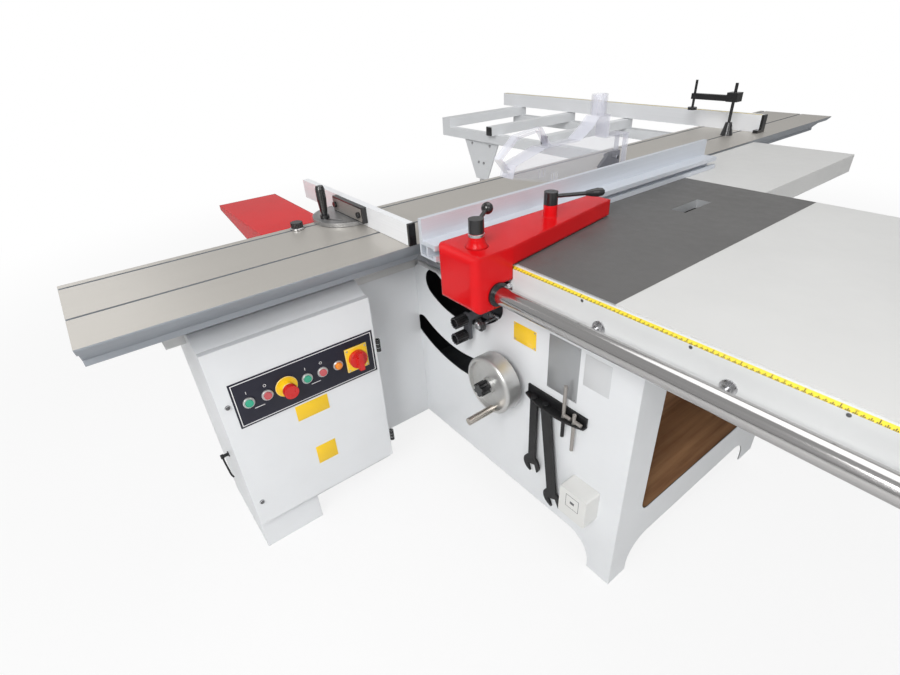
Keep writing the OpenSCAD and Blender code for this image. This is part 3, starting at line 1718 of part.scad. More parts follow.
module in_arm_frame() {
  translate([arm_pivot[0], arm_pivot[1], arm_z]) rotate([0, 0, arm_angle]) children();
}

module swing_arm() {
  hollow = arm_tube - 2 * arm_wall;
  color("lightgray") placed() in_arm_frame() difference() {
    union() {
      rod_z([0, 0, 0], arm_eye_r, arm_tube);
      box([0, -arm_tube / 2, 0], [arm_l, arm_tube / 2, arm_tube]);
    }
    rod_z([0, 0, -overrun], arm_pin_r + shaft_gap, arm_tube + 2 * overrun);
    box([arm_eye_r + arm_wall, -hollow / 2, arm_wall], [arm_l + overrun, hollow / 2, arm_tube - arm_wall]);
  }
}

module swing_arm_extension() {
  inner = arm_tube - 2 * arm_wall - 2 * slide_gap;
  z = arm_wall + slide_gap;
  post_top_z = outrigger_beam_top - beam_box[1] - v_depth - slide_gap;
  color("silver") placed() in_arm_frame() {
    difference() {
      box([arm_inner_start, -inner / 2, z], [arm_inner_end + arm_post_r, inner / 2, z + inner]);
      box([arm_inner_start - overrun, -inner / 2 + arm_wall, z + arm_wall],
        [arm_inner_end - arm_post_r, inner / 2 - arm_wall, z + inner - arm_wall]);
    }
    rod_z([arm_inner_end, 0, z + inner], arm_post_r, post_top_z - arm_z - z - inner);
  }
}

machine_body();
main_table();
table_insert();
right_extension_table();
rear_extension_table();
front_rail();
guide_bar();
bar_studs();
control_cabinet();
table_base_beam();
trunnion_guides();
guard_post();
tool_shelf();
hanging_tools();
junction_box();
storage_shelf();
sliding_table();
outrigger_frame();
outrigger_bracket();
crosscut_fence();
crosscut_end_foot();
hold_down_column();
hold_down_arm();
roller_carriage();
support_wing();
wing_knob();
miter_protractor();
miter_fence();
miter_bracket();
miter_grip();
rip_fence_head();
head_bushes();
rip_fence();
head_clamp_lever();
fence_clamp_lever();
tilt_frame();
scoring_knob_upper();
scoring_knob_lower();
scoring_motor();
scoring_blade();
rise_carriage();
main_motor();
riving_knife();
drive_belt();
saw_arbor();
saw_blade();
motor_pulley();
handwheel();
handwheel_handle();
handwheel_knob();
cabinet_door();
start_button_a();
stop_button_a();
emergency_stop();
start_button_b();
stop_button_b();
main_switch();
guard_hood();
swing_arm();
swing_arm_extension();
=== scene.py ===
"""Dress the sliding table saw: finishes, controls, plates, scales, studio and camera."""

import logging
import math
from abc import ABC, abstractmethod
from dataclasses import dataclass, field
from enum import Enum

import bpy
from bpy.types import Material, Node, NodeSocket, NodeTree, Object
from mathutils import Matrix, Vector


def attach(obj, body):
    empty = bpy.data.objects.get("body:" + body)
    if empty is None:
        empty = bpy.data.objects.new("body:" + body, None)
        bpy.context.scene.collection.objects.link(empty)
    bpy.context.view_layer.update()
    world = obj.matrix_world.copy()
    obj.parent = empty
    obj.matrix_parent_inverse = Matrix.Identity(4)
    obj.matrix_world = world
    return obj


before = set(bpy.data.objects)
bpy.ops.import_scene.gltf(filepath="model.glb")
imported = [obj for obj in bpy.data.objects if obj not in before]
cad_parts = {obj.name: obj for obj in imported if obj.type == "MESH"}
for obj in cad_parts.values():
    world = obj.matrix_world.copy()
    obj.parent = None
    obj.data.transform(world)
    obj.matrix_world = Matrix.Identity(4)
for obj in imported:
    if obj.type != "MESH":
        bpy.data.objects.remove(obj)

Color = tuple[float, float, float]
Triple = tuple[float, float, float]
Pair = tuple[float, float]
Area = tuple[float, float, float, float]
Rgba = tuple[float, float, float, float]
Profile = tuple[Pair, ...]

LOG = logging.getLogger("table_saw")
MM = 0.001
# The model's frame is shifted from the blade's own frame, in which the sizes below are written
BLADE_FRAME = Vector((0.240, -0.900, 0.0))
NUMBER, VECTOR = "NodeSocketFloat", "NodeSocketVector"
# Places of a mix node's two colours and of its mixed colour
MIX_FIRST, MIX_SECOND, MIX_RESULT = 6, 7, 2

# Details that the finishes share; a span is the middle part of a noise that is spread out
COAT_ROUGHNESS = 0.12
GRAIN_HEIGHT = 0.0004
EDGE_SAMPLES = 4
GLOSS_FINENESS = 5.0
MOTTLE_DETAIL, MOTTLE_SPAN = 4.0, (0.28, 0.72)
STREAK_DETAIL, STREAK_SPAN = 6.0, (0.25, 0.75)
# Height just below the table tops, in metres
TABLE_EDGE = 0.8795


class Axis(Enum):
    """Direction that a round piece points along."""

    X = "x"
    Y = "y"
    Z = "z"

    def turn(self) -> Matrix:
        """Turn that brings an upright piece along this axis.

        Returns:
            The turn as a matrix.
        """
        if self is Axis.X:
            return Matrix.Rotation(math.pi / 2, 4, "Y")
        if self is Axis.Y:
            return Matrix.Rotation(-math.pi / 2, 4, "X")
        return Matrix.Identity(4)


class Pattern(Enum):
    """Shared surface effects, each one shader node group."""

    MOTTLE = "surface_mottle"
    GROOVES = "fine_grooves"
    STREAKS = "drawn_streaks"


def place(x: float, y: float, z: float) -> Vector:
    """Point right of the blade, behind the table's edge and above the floor, as a point of the model."""
    return Vector((x, y, z)) * MM + BLADE_FRAME


def shade(color: Color, factor: float = 1.0) -> Rgba:
    """Linear colour made lighter or darker by a factor, with full opacity."""
    return (color[0] * factor, color[1] * factor, color[2] * factor, 1.0)


@dataclass
class NodeBench:
    """Adds and links shader nodes in one tree."""

    tree: NodeTree

    def add(self, kind: str, **settings: object) -> Node:
        """Add one node.

        Args:
            kind: Name of the node type.
            settings: Properties to set on the node.

        Returns:
            The new node.
        """
        made = self.tree.nodes.new(kind)
        for name, value in settings.items():
            setattr(made, name, value)
        return made

    def feed(self, socket: NodeSocket, value: object) -> None:
        """Link a socket to another one, or set its plain value.

        Args:
            socket: Input to feed.
            value: Socket or plain value.
        """
        if isinstance(value, NodeSocket):
            self.tree.links.new(value, socket)
        else:
            socket.default_value = value

    def math(self, operation: str, *values: object) -> NodeSocket:
        """Add a math node.

        Args:
            operation: Name of the operation.
            values: Sockets or numbers, in the order of the inputs.

        Returns:
            The result's socket.
        """
        made = self.add("ShaderNodeMath", operation=operation)
        for socket, value in zip(made.inputs, values):
            self.feed(socket, value)
        return made.outputs[0]

    def blend(self, mask: NodeSocket, first: object, second: object) -> NodeSocket:
        """Mix two colours by a mask.

        Args:
            mask: Share of the second colour.
            first: Colour or socket where the mask is zero.
            second: Colour or socket where the mask is one.

        Returns:
            The mixed colour's socket.
        """
        made = self.add("ShaderNodeMix", data_type="RGBA")
        self.feed(made.inputs["Factor"], mask)
        self.feed(made.inputs[MIX_FIRST], first)
        self.feed(made.inputs[MIX_SECOND], second)
        return made.outputs[MIX_RESULT]

    def remap(self, value: NodeSocket, target: Pair, source: Pair = (0.0, 1.0)) -> NodeSocket:
        """Stretch one range over another.

        Args:
            value: Value to stretch.
            target: Ends of the new range.
            source: Ends of the range it has.

        Returns:
            The stretched value's socket.
        """
        made = self.add("ShaderNodeMapRange")
        self.feed(made.inputs["Value"], value)
        made.inputs["From Min"].default_value, made.inputs["From Max"].default_value = source
        made.inputs["To Min"].default_value, made.inputs["To Max"].default_value = target
        return made.outputs["Result"]

    def noise(self, vector: NodeSocket, scale: object, detail: float, span: Pair) -> NodeSocket:
        """Noise whose middle span is spread from zero to one.

        Args:
            vector: Coordinates of the noise.
            scale: Socket or number of its fineness.
            detail: Number of finer layers.
            span: Ends of the middle span.

        Returns:
            The spread value's socket.
        """
        made = self.add("ShaderNodeTexNoise")
        for name, value in (("Vector", vector), ("Scale", scale), ("Detail", detail)):
            self.feed(made.inputs[name], value)
        return self.remap(made.outputs[0], (0.0, 1.0), span)

    def split(self, vector: NodeSocket) -> list[NodeSocket]:
        """The three parts of a vector.

        Args:
            vector: Vector to split.

        Returns:
            The sockets of x, y and z.
        """
        made = self.add("ShaderNodeSeparateXYZ")
        self.feed(made.inputs[0], vector)
        return list(made.outputs)


class PatternShelf:
    """Builds the node group of each shared effect once."""

    def __init__(self) -> None:
        """Start with no groups."""
        self._made: dict[Pattern, NodeTree] = {}

    def group(self, pattern: Pattern) -> NodeTree:
        """Node group of an effect.

        Args:
            pattern: Effect to look up.

        Returns:
            Its group, built the first time.
        """
        if pattern not in self._made:
            self._made[pattern] = self._build(pattern)
        return self._made[pattern]

    def _build(self, pattern: Pattern) -> NodeTree:
        """Build one group.

        Args:
            pattern: Effect to build.

        Returns:
            The new group.
        """
        inputs, draw = {
            Pattern.MOTTLE: ({"Vector": VECTOR, "Scale": NUMBER}, self._mottle),
            Pattern.GROOVES: ({"Along": NUMBER, "Pitch": NUMBER, "Width": NUMBER}, self._grooves),
            Pattern.STREAKS: ({"Vector": VECTOR, "Stretch": VECTOR}, self._streaks),
        }[pattern]
        tree = bpy.data.node_groups.new(pattern.value, "ShaderNodeTree")
        for name, kind in inputs.items():
            tree.interface.new_socket(name, in_out="INPUT", socket_type=kind)
        tree.interface.new_socket("Value", in_out="OUTPUT", socket_type=NUMBER)
        bench = NodeBench(tree)
        start = bench.add("NodeGroupInput")
        end = bench.add("NodeGroupOutput")
        bench.feed(end.inputs[0], draw(bench, *(start.outputs[name] for name in inputs)))
        return tree

    def _mottle(self, bench: NodeBench, vector: NodeSocket, scale: NodeSocket) -> NodeSocket:
        """Soft cloudy noise."""
        return bench.noise(vector, scale, MOTTLE_DETAIL, MOTTLE_SPAN)

    def _grooves(self, bench: NodeBench, along: NodeSocket, pitch: NodeSocket,
                 width: NodeSocket) -> NodeSocket:
        """Even lines across one coordinate.

        Args:
            bench: Bench of the group.
            along: Coordinate that the lines cross.
            pitch: Distance from line to line.
            width: Width of a line, as a share of the pitch.

        Returns:
            The value, one where a line lies.
        """
        share = bench.math("FRACT", bench.math("DIVIDE", along, pitch))
        beat = bench.math("ABSOLUTE", bench.math("SUBTRACT", share, 0.5))
        return bench.math("LESS_THAN", beat, bench.math("MULTIPLY", width, 0.5))

    def _streaks(self, bench: NodeBench, vector: NodeSocket, stretch: NodeSocket) -> NodeSocket:
        """Noise drawn out along one direction.

        Args:
            bench: Bench of the group.
            vector: Coordinates of the noise.
            stretch: Fineness along each axis.

        Returns:
            The noise's value.
        """
        stretched = bench.add("ShaderNodeVectorMath", operation="MULTIPLY")
        bench.feed(stretched.inputs[0], vector)
        bench.feed(stretched.inputs[1], stretch)
        return bench.noise(stretched.outputs[0], 1.0, STREAK_DETAIL, STREAK_SPAN)


PATTERNS = PatternShelf()


class Surface(NodeBench):
    """Nodes of one material, with its object coordinates and the shared effects."""

    def __init__(self, material: Material) -> None:
        """Switch the material's nodes on and start from its object coordinates.

        Args:
            material: Material to work on.
        """
        material.use_nodes = True
        super().__init__(material.node_tree)
        self.shader = material.node_tree.nodes["Principled BSDF"]
        self.vector = self.add("ShaderNodeTexCoord").outputs["Object"]

    def parts(self) -> list[NodeSocket]:
        """The three object coordinates."""
        return self.split(self.vector)

    def mottle(self, scale: float) -> NodeSocket:
        """Mask of soft clouds."""
        return self._effect(Pattern.MOTTLE, Vector=self.vector, Scale=scale)

    def grooves(self, along: NodeSocket, pitch: float, width: float) -> NodeSocket:
        """Mask of even lines across one coordinate, with a width that is a share of the pitch."""
        return self._effect(Pattern.GROOVES, Along=along, Pitch=pitch, Width=width)

    def streaks(self, stretch: Triple) -> NodeSocket:
        """Mask of streaks, finer along the axes with the larger stretch."""
        return self._effect(Pattern.STREAKS, Vector=self.vector, Stretch=stretch)

    def _effect(self, pattern: Pattern, **values: object) -> NodeSocket:
        """Place a shared effect.

        Args:
            pattern: Effect to place.
            values: Sockets or plain values of the group's inputs.

        Returns:
            The effect's value, from zero to one.
        """
        made = self.add("ShaderNodeGroup", node_tree=PATTERNS.group(pattern))
        for name, value in values.items():
            self.feed(made.inputs[name], value)
        return made.outputs["Value"]


@dataclass(frozen=True)
class Finish:
    """Surface of a piece, with cloudy colour and a fine bump."""

    name: str
    color: Color
    roughness: float = 0.4
    metallic: float = 0.0
    coat: float = 0.0
    tone: float = 0.05
    tone_scale: float = 6.0
    grain_scale: float = 700.0
    grain_depth: float = 0.05
    edge: float = 0.0
    alpha: float = 1.0
    specular: float = 0.5
    gloss_swing: float = 0.15

    def build(self) -> Material:
        """Make the material.

        Returns:
            The finished material.
        """
        material = bpy.data.materials.new(self.name)
        on = Surface(material)
        inputs = on.shader.inputs
        inputs["Metallic"].default_value = self.metallic
        inputs["Coat Weight"].default_value = self.coat
        inputs["Coat Roughness"].default_value = COAT_ROUGHNESS
        inputs["Alpha"].default_value = self.alpha
        inputs["Specular IOR Level"].default_value = self.specular
        on.feed(inputs["Base Color"], self.tint(on))
        on.feed(inputs["Roughness"], self.gloss(on))
        bump = on.add("ShaderNodeBump")
        bump.inputs["Strength"].default_value = self.grain_depth
        bump.inputs["Distance"].default_value = GRAIN_HEIGHT
        on.feed(bump.inputs["Height"], self.relief(on))
        if self.edge:
            soft = on.add("ShaderNodeBevel", samples=EDGE_SAMPLES)
            soft.inputs["Radius"].default_value = self.edge
            on.feed(bump.inputs["Normal"], soft.outputs["Normal"])
        on.feed(inputs["Normal"], bump.outputs["Normal"])
        return material

    def tint(self, on: Surface) -> NodeSocket:
        """Base colour over the surface."""
        return self.tones(on, on.mottle(self.tone_scale))

    def gloss(self, on: Surface) -> NodeSocket:
        """Roughness over the surface."""
        return self.swing(on, on.mottle(self.tone_scale * GLOSS_FINENESS))

    def relief(self, on: Surface) -> NodeSocket:
        """Height of the fine texture."""
        return on.mottle(self.grain_scale)

    def tones(self, on: Surface, mask: NodeSocket) -> NodeSocket:
        """Colour that goes from its darker to its lighter tone over a mask."""
        return on.blend(mask, shade(self.color, 1.0 - self.tone), shade(self.color, 1.0 + self.tone))

    def swing(self, on: Surface, mask: NodeSocket) -> NodeSocket:
        """Roughness that goes from smoother to rougher over a mask."""
        low, high = 1.0 - self.gloss_swing, 1.0 + self.gloss_swing
        return on.remap(mask, (self.roughness * low, self.roughness * high))


@dataclass(frozen=True)
class ColourInBoxes(Finish):
    """Finish with a second colour between pairs of corners, such as the painted shade inside the case."""

    boxes: tuple[tuple[Vector, Vector], ...] = ()
    # Default second colour: the near black of the painted shade inside the case
    inner: Color = (0.045, 0.047, 0.05)

    def tint(self, on: Surface) -> NodeSocket:
        """Outer colour, and the second one inside the boxes.

        Args:
            on: Surface to colour.

        Returns:
            The colour's socket.
        """
        mask: NodeSocket | float = 0.0
        parts = on.parts()
        for low, high in self.boxes:
            within: NodeSocket | float = 1.0
            for part, start, end in zip(parts, low, high):
                within = on.math("MULTIPLY", within, on.math("GREATER_THAN", part, start))
                within = on.math("MULTIPLY", within, on.math("LESS_THAN", part, end))
            mask = on.math("MAXIMUM", mask, within)
        return on.blend(mask, Finish.tint(self, on), shade(self.inner))


@dataclass(frozen=True)
class ClearSheet(Finish):
    """Clear sheet whose cut edges and rims look fuller than its flat sides."""

    rim_alpha: float = 0.45

    def build(self) -> Material:
        """Make the material with an opacity that follows the way each face looks.

        Returns:
            The finished material.
        """
        material = Finish.build(self)
        bench = NodeBench(material.node_tree)
        sideways = bench.split(bench.add("ShaderNodeTexCoord").outputs["Normal"])[0]
        opacity = bench.remap(bench.math("ABSOLUTE", sideways), (self.rim_alpha, self.alpha))
        bench.feed(material.node_tree.nodes["Principled BSDF"].inputs["Alpha"], opacity)
        return material


@dataclass(frozen=True)
class DrawnMetal(Finish):
    """Metal with streaks along the way it was drawn, ground or rolled."""

    gloss_swing: float = 0.25
    stretch: Triple = (900.0, 3.0, 900.0)

    def tint(self, on: Surface) -> NodeSocket:
        """Base colour with faint streaks."""
        return self.tones(on, on.streaks(self.stretch))

    def gloss(self, on: Surface) -> NodeSocket:
        """Roughness that follows the streaks."""
        return self.swing(on, on.streaks(self.stretch))

    def relief(self, on: Surface) -> NodeSocket:
        """Height of the streaks."""
        return on.streaks(self.stretch)


@dataclass(frozen=True)
class RibbedMetal(DrawnMetal):
    """Extruded table with fine ribs along its top and plainer, cooler sides."""

    pitch: float = 0.004
    width: float = 0.25
    rib_shade: float = 0.88
    side: Color = (0.36, 0.385, 0.42)

    def tint(self, on: Surface) -> NodeSocket:
        """Streaked colour, darker in the ribs' grooves and cooler below the top.

        Args:
            on: Surface to colour.

        Returns:
            The colour's socket.
        """
        x, _, z = on.parts()
        groove = on.grooves(x, self.pitch, self.width)
        ribbed = on.blend(groove, DrawnMetal.tint(self, on), shade(self.color, self.rib_shade))
        return on.blend(on.math("LESS_THAN", z, TABLE_EDGE), ribbed, shade(self.side))

    def relief(self, on: Surface) -> NodeSocket:
        """Height of the ribs."""
        return on.math("SUBTRACT", 1.0, on.grooves(on.parts()[0], self.pitch, self.width))


@dataclass(frozen=True)
class MilledIron(Finish):
    """Cast table with the crossed marks of its milling on top and bare grey edges."""

    pitch: float = 0.0055
    width: float = 0.3
    mark_shade: float = 1.5
    side: Color = (0.42, 0.43, 0.44)

    def tint(self, on: Surface) -> NodeSocket:
        """Cloudy iron, lighter on the marks, and the grey of the edges below the top."""
        milled = on.blend(self.relief(on), Finish.tint(self, on), shade(self.color, self.mark_shade))
        return on.blend(on.math("LESS_THAN", on.parts()[2], TABLE_EDGE), milled, shade(self.side))

    def relief(self, on: Surface) -> NodeSocket:
        """Height of the two crossed sets of milling marks."""
        sets = (on.grooves(part, self.pitch, self.width) for part in on.parts()[:2])
        return on.math("MULTIPLY", on.math("ADD", *sets), 0.5)


@dataclass(frozen=True)
class Plywood(Finish):
    """Raw board with long grain."""

    dark: Color = (0.15, 0.068, 0.030)
    stretch: Triple = (40.0, 2.5, 60.0)

    def tint(self, on: Surface) -> NodeSocket:
        """Grain between the dark and the light wood."""
        return on.blend(self.relief(on), shade(self.dark), shade(self.color))

    def relief(self, on: Surface) -> NodeSocket:
        """Height of the grain."""
        return on.streaks(self.stretch)


@dataclass(frozen=True)
class ScalePrint(Finish):
    """Tape with short, middle and long marks along x."""

    ink: Color = (0.02, 0.02, 0.02)
    near_edge: float = 0.0
    tape_width: float = 0.008
    steps: Profile = ((0.005, 0.30), (0.010, 0.55), (0.050, 0.9))
    line: float = 0.0015

    def tint(self, on: Surface) -> NodeSocket:
        """Tape colour with the inked marks.

        Args:
            on: Surface to colour.

        Returns:
            The colour's socket.
        """
        x, y, _ = on.parts()
        across = on.math("SUBTRACT", y, self.near_edge)
        inked: NodeSocket | float = 0.0
        for pitch, reach in self.steps:
            mark = on.grooves(x, pitch, self.line / pitch)
            near = on.math("LESS_THAN", across, self.tape_width * reach)
            inked = on.math("MAXIMUM", inked, on.math("MULTIPLY", mark, near))
        return on.blend(inked, Finish.tint(self, on), shade(self.ink))


@dataclass(frozen=True)
class DegreePrint(DrawnMetal):
    """Casting with a row of degree marks round a pivot."""

    pivot: Pair = (0.0, 0.0)
    band: Pair = (0.090, 0.101)
    step: float = math.radians(5.0)
    mark_width: float = 0.16
    mark_shade: float = 0.08

    def tint(self, on: Surface) -> NodeSocket:
        """Streaked metal with dark marks in a band near the rim.

        Args:
            on: Surface to colour.

        Returns:
            The colour's socket.
        """
        x, y = (on.math("SUBTRACT", part, start) for part, start in zip(on.parts(), self.pivot))
        reach = on.math("SQRT", on.math("ADD", on.math("MULTIPLY", x, x), on.math("MULTIPLY", y, y)))
        mark = on.grooves(on.math("ARCTAN2", y, x), self.step, self.mark_width)
        for test, limit in zip(("GREATER_THAN", "LESS_THAN"), self.band):
            mark = on.math("MULTIPLY", mark, on.math(test, reach, limit))
        return on.blend(mark, DrawnMetal.tint(self, on), shade(self.color, self.mark_shade))


class Palette:
    """Every finish of the machine, built once."""

    def __init__(self) -> None:
        """Build all the materials."""
        # Box inside the hollow body, where the case paint turns near black as painted shade
        case_inner_shade = (place(-428.0, 16.0, -10.0), place(652.0, 856.0, 830.0))
        long_key = (place(448.0, -20.0, 505.0), place(484.0, 14.0, 620.0))
        short_key = (place(484.0, -20.0, 400.0), place(525.0, 14.0, 620.0))
        miter_pivot = tuple(place(-374.0, -128.0, 880.0).xy)
        rail_front = place(0.0, -16.7, 0.0).y
        crosscut_front = place(0.0, 2003.0, 0.0).y
        finishes: tuple[Finish, ...] = (
            # The case paint is near black inside the body: painted shade, not a primer
            ColourInBoxes("case_paint_and_inner_shade", (0.74, 0.755, 0.77), 0.38, coat=0.15, tone=0.02, edge=0.0025,
                    boxes=(case_inner_shade,)),
            Finish("white_body_paint", (0.74, 0.755, 0.77), 0.38, coat=0.15, tone=0.02, edge=0.0025),
            Finish("white_table_paint", (0.63, 0.63, 0.62), 0.46, coat=0.05, tone=0.02, edge=0.002),
            Finish("white_rail_paint", (0.70, 0.71, 0.71), 0.40, coat=0.1, tone=0.02, edge=0.001),
            Finish("red_gloss_paint", (0.64, 0.005, 0.008), 0.22, coat=0.05, tone=0.05, grain_scale=420.0,
                   grain_depth=0.04, edge=0.009, specular=0.20),
            Finish("grey_enamel", (0.42, 0.43, 0.44), 0.42, coat=0.15, tone=0.05, edge=0.0015),
            Finish("unit_primer", (0.085, 0.09, 0.10), 0.62, tone=0.18, tone_scale=18.0, grain_scale=260.0,
                   grain_depth=0.25, edge=0.001),
            Finish("motor_enamel", (0.10, 0.14, 0.19), 0.45, coat=0.1, tone=0.08, edge=0.001),
            MilledIron("milled_table_iron", (0.120, 0.118, 0.116), 0.50, metallic=0.35, tone=0.10,
                       grain_depth=0.12, edge=0.0012),
            RibbedMetal("sliding_table_metal", (0.56, 0.535, 0.495), 0.42, metallic=0.55, tone=0.06,
                        grain_depth=0.10, stretch=(700.0, 1.5, 700.0), edge=0.0008),
            DrawnMetal("fence_metal_long", (0.64, 0.67, 0.72), 0.40, metallic=0.30, tone=0.05,
                       stretch=(900.0, 1.5, 900.0), edge=0.0008),
            DrawnMetal("fence_metal_cross", (0.86, 0.87, 0.89), 0.44, metallic=0.12, tone=0.05,
                       stretch=(1.5, 900.0, 900.0), edge=0.0008),
            DrawnMetal("polished_bar", (0.54, 0.53, 0.525), 0.17, metallic=1.0, tone=0.05, grain_depth=0.02,
                       stretch=(2.0, 600.0, 600.0)),
            DrawnMetal("bright_steel", (0.52, 0.52, 0.53), 0.28, metallic=1.0, tone=0.10, grain_depth=0.06,
                       stretch=(400.0, 60.0, 60.0), edge=0.0004),
            DrawnMetal("handle_steel", (0.62, 0.57, 0.51), 0.26, metallic=0.9, tone=0.06, grain_depth=0.03,
                       stretch=(500.0, 4.0, 500.0), edge=0.0004),
            DrawnMetal("dark_steel", (0.16, 0.16, 0.165), 0.38, metallic=0.85, tone=0.12, grain_depth=0.08,
                       stretch=(200.0, 200.0, 20.0), edge=0.0006),
            Finish("cast_aluminium", (0.56, 0.56, 0.55), 0.36, metallic=0.75, tone=0.06, tone_scale=30.0,
                   grain_scale=420.0, grain_depth=0.12, edge=0.0015),
            DegreePrint("degree_casting", (0.34, 0.34, 0.34), 0.38, metallic=0.7, tone=0.08, grain_depth=0.06,
                        stretch=(300.0, 300.0, 300.0), pivot=miter_pivot, edge=0.001),
            Finish("black_gloss_plastic", (0.012, 0.012, 0.013), 0.24, coat=0.3, tone=0.15, edge=0.0012),
            Finish("black_tool_steel", (0.014, 0.014, 0.015), 0.42, metallic=0.3, tone=0.25, tone_scale=40.0,
                   grain_scale=300.0, grain_depth=0.2, edge=0.001),
            ColourInBoxes("hanging_tool_steel", (0.014, 0.014, 0.015), 0.42, metallic=0.3, tone=0.25,
                    tone_scale=40.0, grain_scale=300.0, grain_depth=0.2, edge=0.001,
                    boxes=(long_key, short_key), inner=(0.32, 0.30, 0.28)),
            Finish("grey_box_plastic", (0.70, 0.70, 0.68), 0.45, tone=0.03, edge=0.002),
            Plywood("shelf_plywood", (0.38, 0.20, 0.095), 0.62, grain_depth=0.3),
            Finish("black_rubber", (0.012, 0.012, 0.012), 0.75, tone=0.2, grain_depth=0.3),
            Finish("green_cap", (0.03, 0.36, 0.22), 0.25, coat=0.3, tone=0.08),
            Finish("pale_red_cap", (0.52, 0.09, 0.10), 0.25, coat=0.3, tone=0.08),
            Finish("red_cap", (0.58, 0.014, 0.012), 0.28, coat=0.2, tone=0.08, edge=0.0012),
            Finish("amber_lens", (0.75, 0.22, 0.01), 0.18, coat=0.6, tone=0.10),
            Finish("signal_yellow", (0.88, 0.56, 0.01), 0.34, coat=0.2, tone=0.05),
            Finish("panel_navy", (0.005, 0.005, 0.016), 0.45, tone=0.15),
            Finish("mark_white", (0.80, 0.80, 0.80), 0.45, tone=0.03),
            Finish("mark_black", (0.015, 0.015, 0.015), 0.5, tone=0.1),
            Finish("mark_grey", (0.10, 0.10, 0.11), 0.5, tone=0.1),
            Finish("plate_grey", (0.40, 0.41, 0.42), 0.34, metallic=0.6, tone=0.05),
            Finish("plate_white", (0.60, 0.61, 0.62), 0.40, tone=0.03),
            ClearSheet("clear_guard_sheet", (0.76, 0.77, 0.86), 0.08, coat=0.4, tone=0.03, alpha=0.11),
            Finish("bracket_grey", (0.25, 0.23, 0.215), 0.45, metallic=0.2, tone=0.08),
            ScalePrint("rail_scale_tape", (0.86, 0.66, 0.03), 0.38, tone=0.04,
                       near_edge=rail_front, tape_width=0.0094),
            ScalePrint("crosscut_scale_tape", (0.86, 0.66, 0.03), 0.38, tone=0.04,
                       near_edge=crosscut_front, tape_width=0.012),
        )
        self._made: dict[str, Material] = {finish.name: finish.build() for finish in finishes}

    def dress(self, piece: Object, name: str) -> None:
        """Give a piece one named finish all over."""
        piece.data.materials.clear()
        piece.data.materials.append(self._made[name])


@dataclass
class Machine:
    """The solid parts of the machine and the finish that each one gets."""

    finishes: dict[str, tuple[str, ...]] = field(default_factory=lambda: {
        # The body's case paint carries painted shade inside its hollow
        "case_paint_and_inner_shade": ("machine_body",),
        "white_body_paint": ("control_cabinet", "cabinet_door", "outrigger_frame", "outrigger_bracket"),
        "white_table_paint": ("right_extension_table", "rear_extension_table", "table_base_beam"),
        "white_rail_paint": ("front_rail",),
        "red_gloss_paint": ("rip_fence_head", "support_wing"),
        "grey_enamel": ("swing_arm", "roller_carriage"),
        "unit_primer": ("trunnion_guides", "tilt_frame", "rise_carriage"),
        "motor_enamel": ("main_motor", "scoring_motor"),
        "milled_table_iron": ("main_table",),
        "sliding_table_metal": ("sliding_table",),
        "fence_metal_long": ("rip_fence",),
        "fence_metal_cross": ("crosscut_fence", "miter_fence", "table_insert"),
        "polished_bar": ("guide_bar",),
        "bright_steel": ("bar_studs", "saw_arbor", "saw_blade", "scoring_blade", "motor_pulley"),
        "handle_steel": ("handwheel_handle",),
        "dark_steel": ("guard_post", "riving_knife"),
        "cast_aluminium": ("handwheel", "swing_arm_extension"),
        "degree_casting": ("miter_protractor",),
        "black_gloss_plastic": ("head_bushes", "head_clamp_lever", "fence_clamp_lever", "scoring_knob_upper",
                                "scoring_knob_lower", "handwheel_knob", "wing_knob", "miter_grip",
                                "crosscut_end_foot", "hold_down_column", "hold_down_arm", "miter_bracket"),
        "black_tool_steel": ("tool_shelf",),
        "hanging_tool_steel": ("hanging_tools",),
        "grey_box_plastic": ("junction_box",),
        "shelf_plywood": ("storage_shelf",),
        "black_rubber": ("drive_belt",),
        "green_cap": ("start_button_a", "start_button_b"),
        "pale_red_cap": ("stop_button_a", "stop_button_b"),
        "red_cap": ("emergency_stop", "main_switch"),
        "clear_guard_sheet": ("guard_hood",),
    })

    def dress(self, palette: Palette) -> None:
        """Give every solid part its finish.

        Args:
            palette: Finishes to take from.
        """
        nodes: dict[str, Object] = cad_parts
        for finish, names in self.finishes.items():
            for name in names:
                palette.dress(nodes[name], finish)
        bare = set(nodes) - {name for names in self.finishes.values() for name in names}
        LOG.info("parts without a finish: %s", sorted(bare))


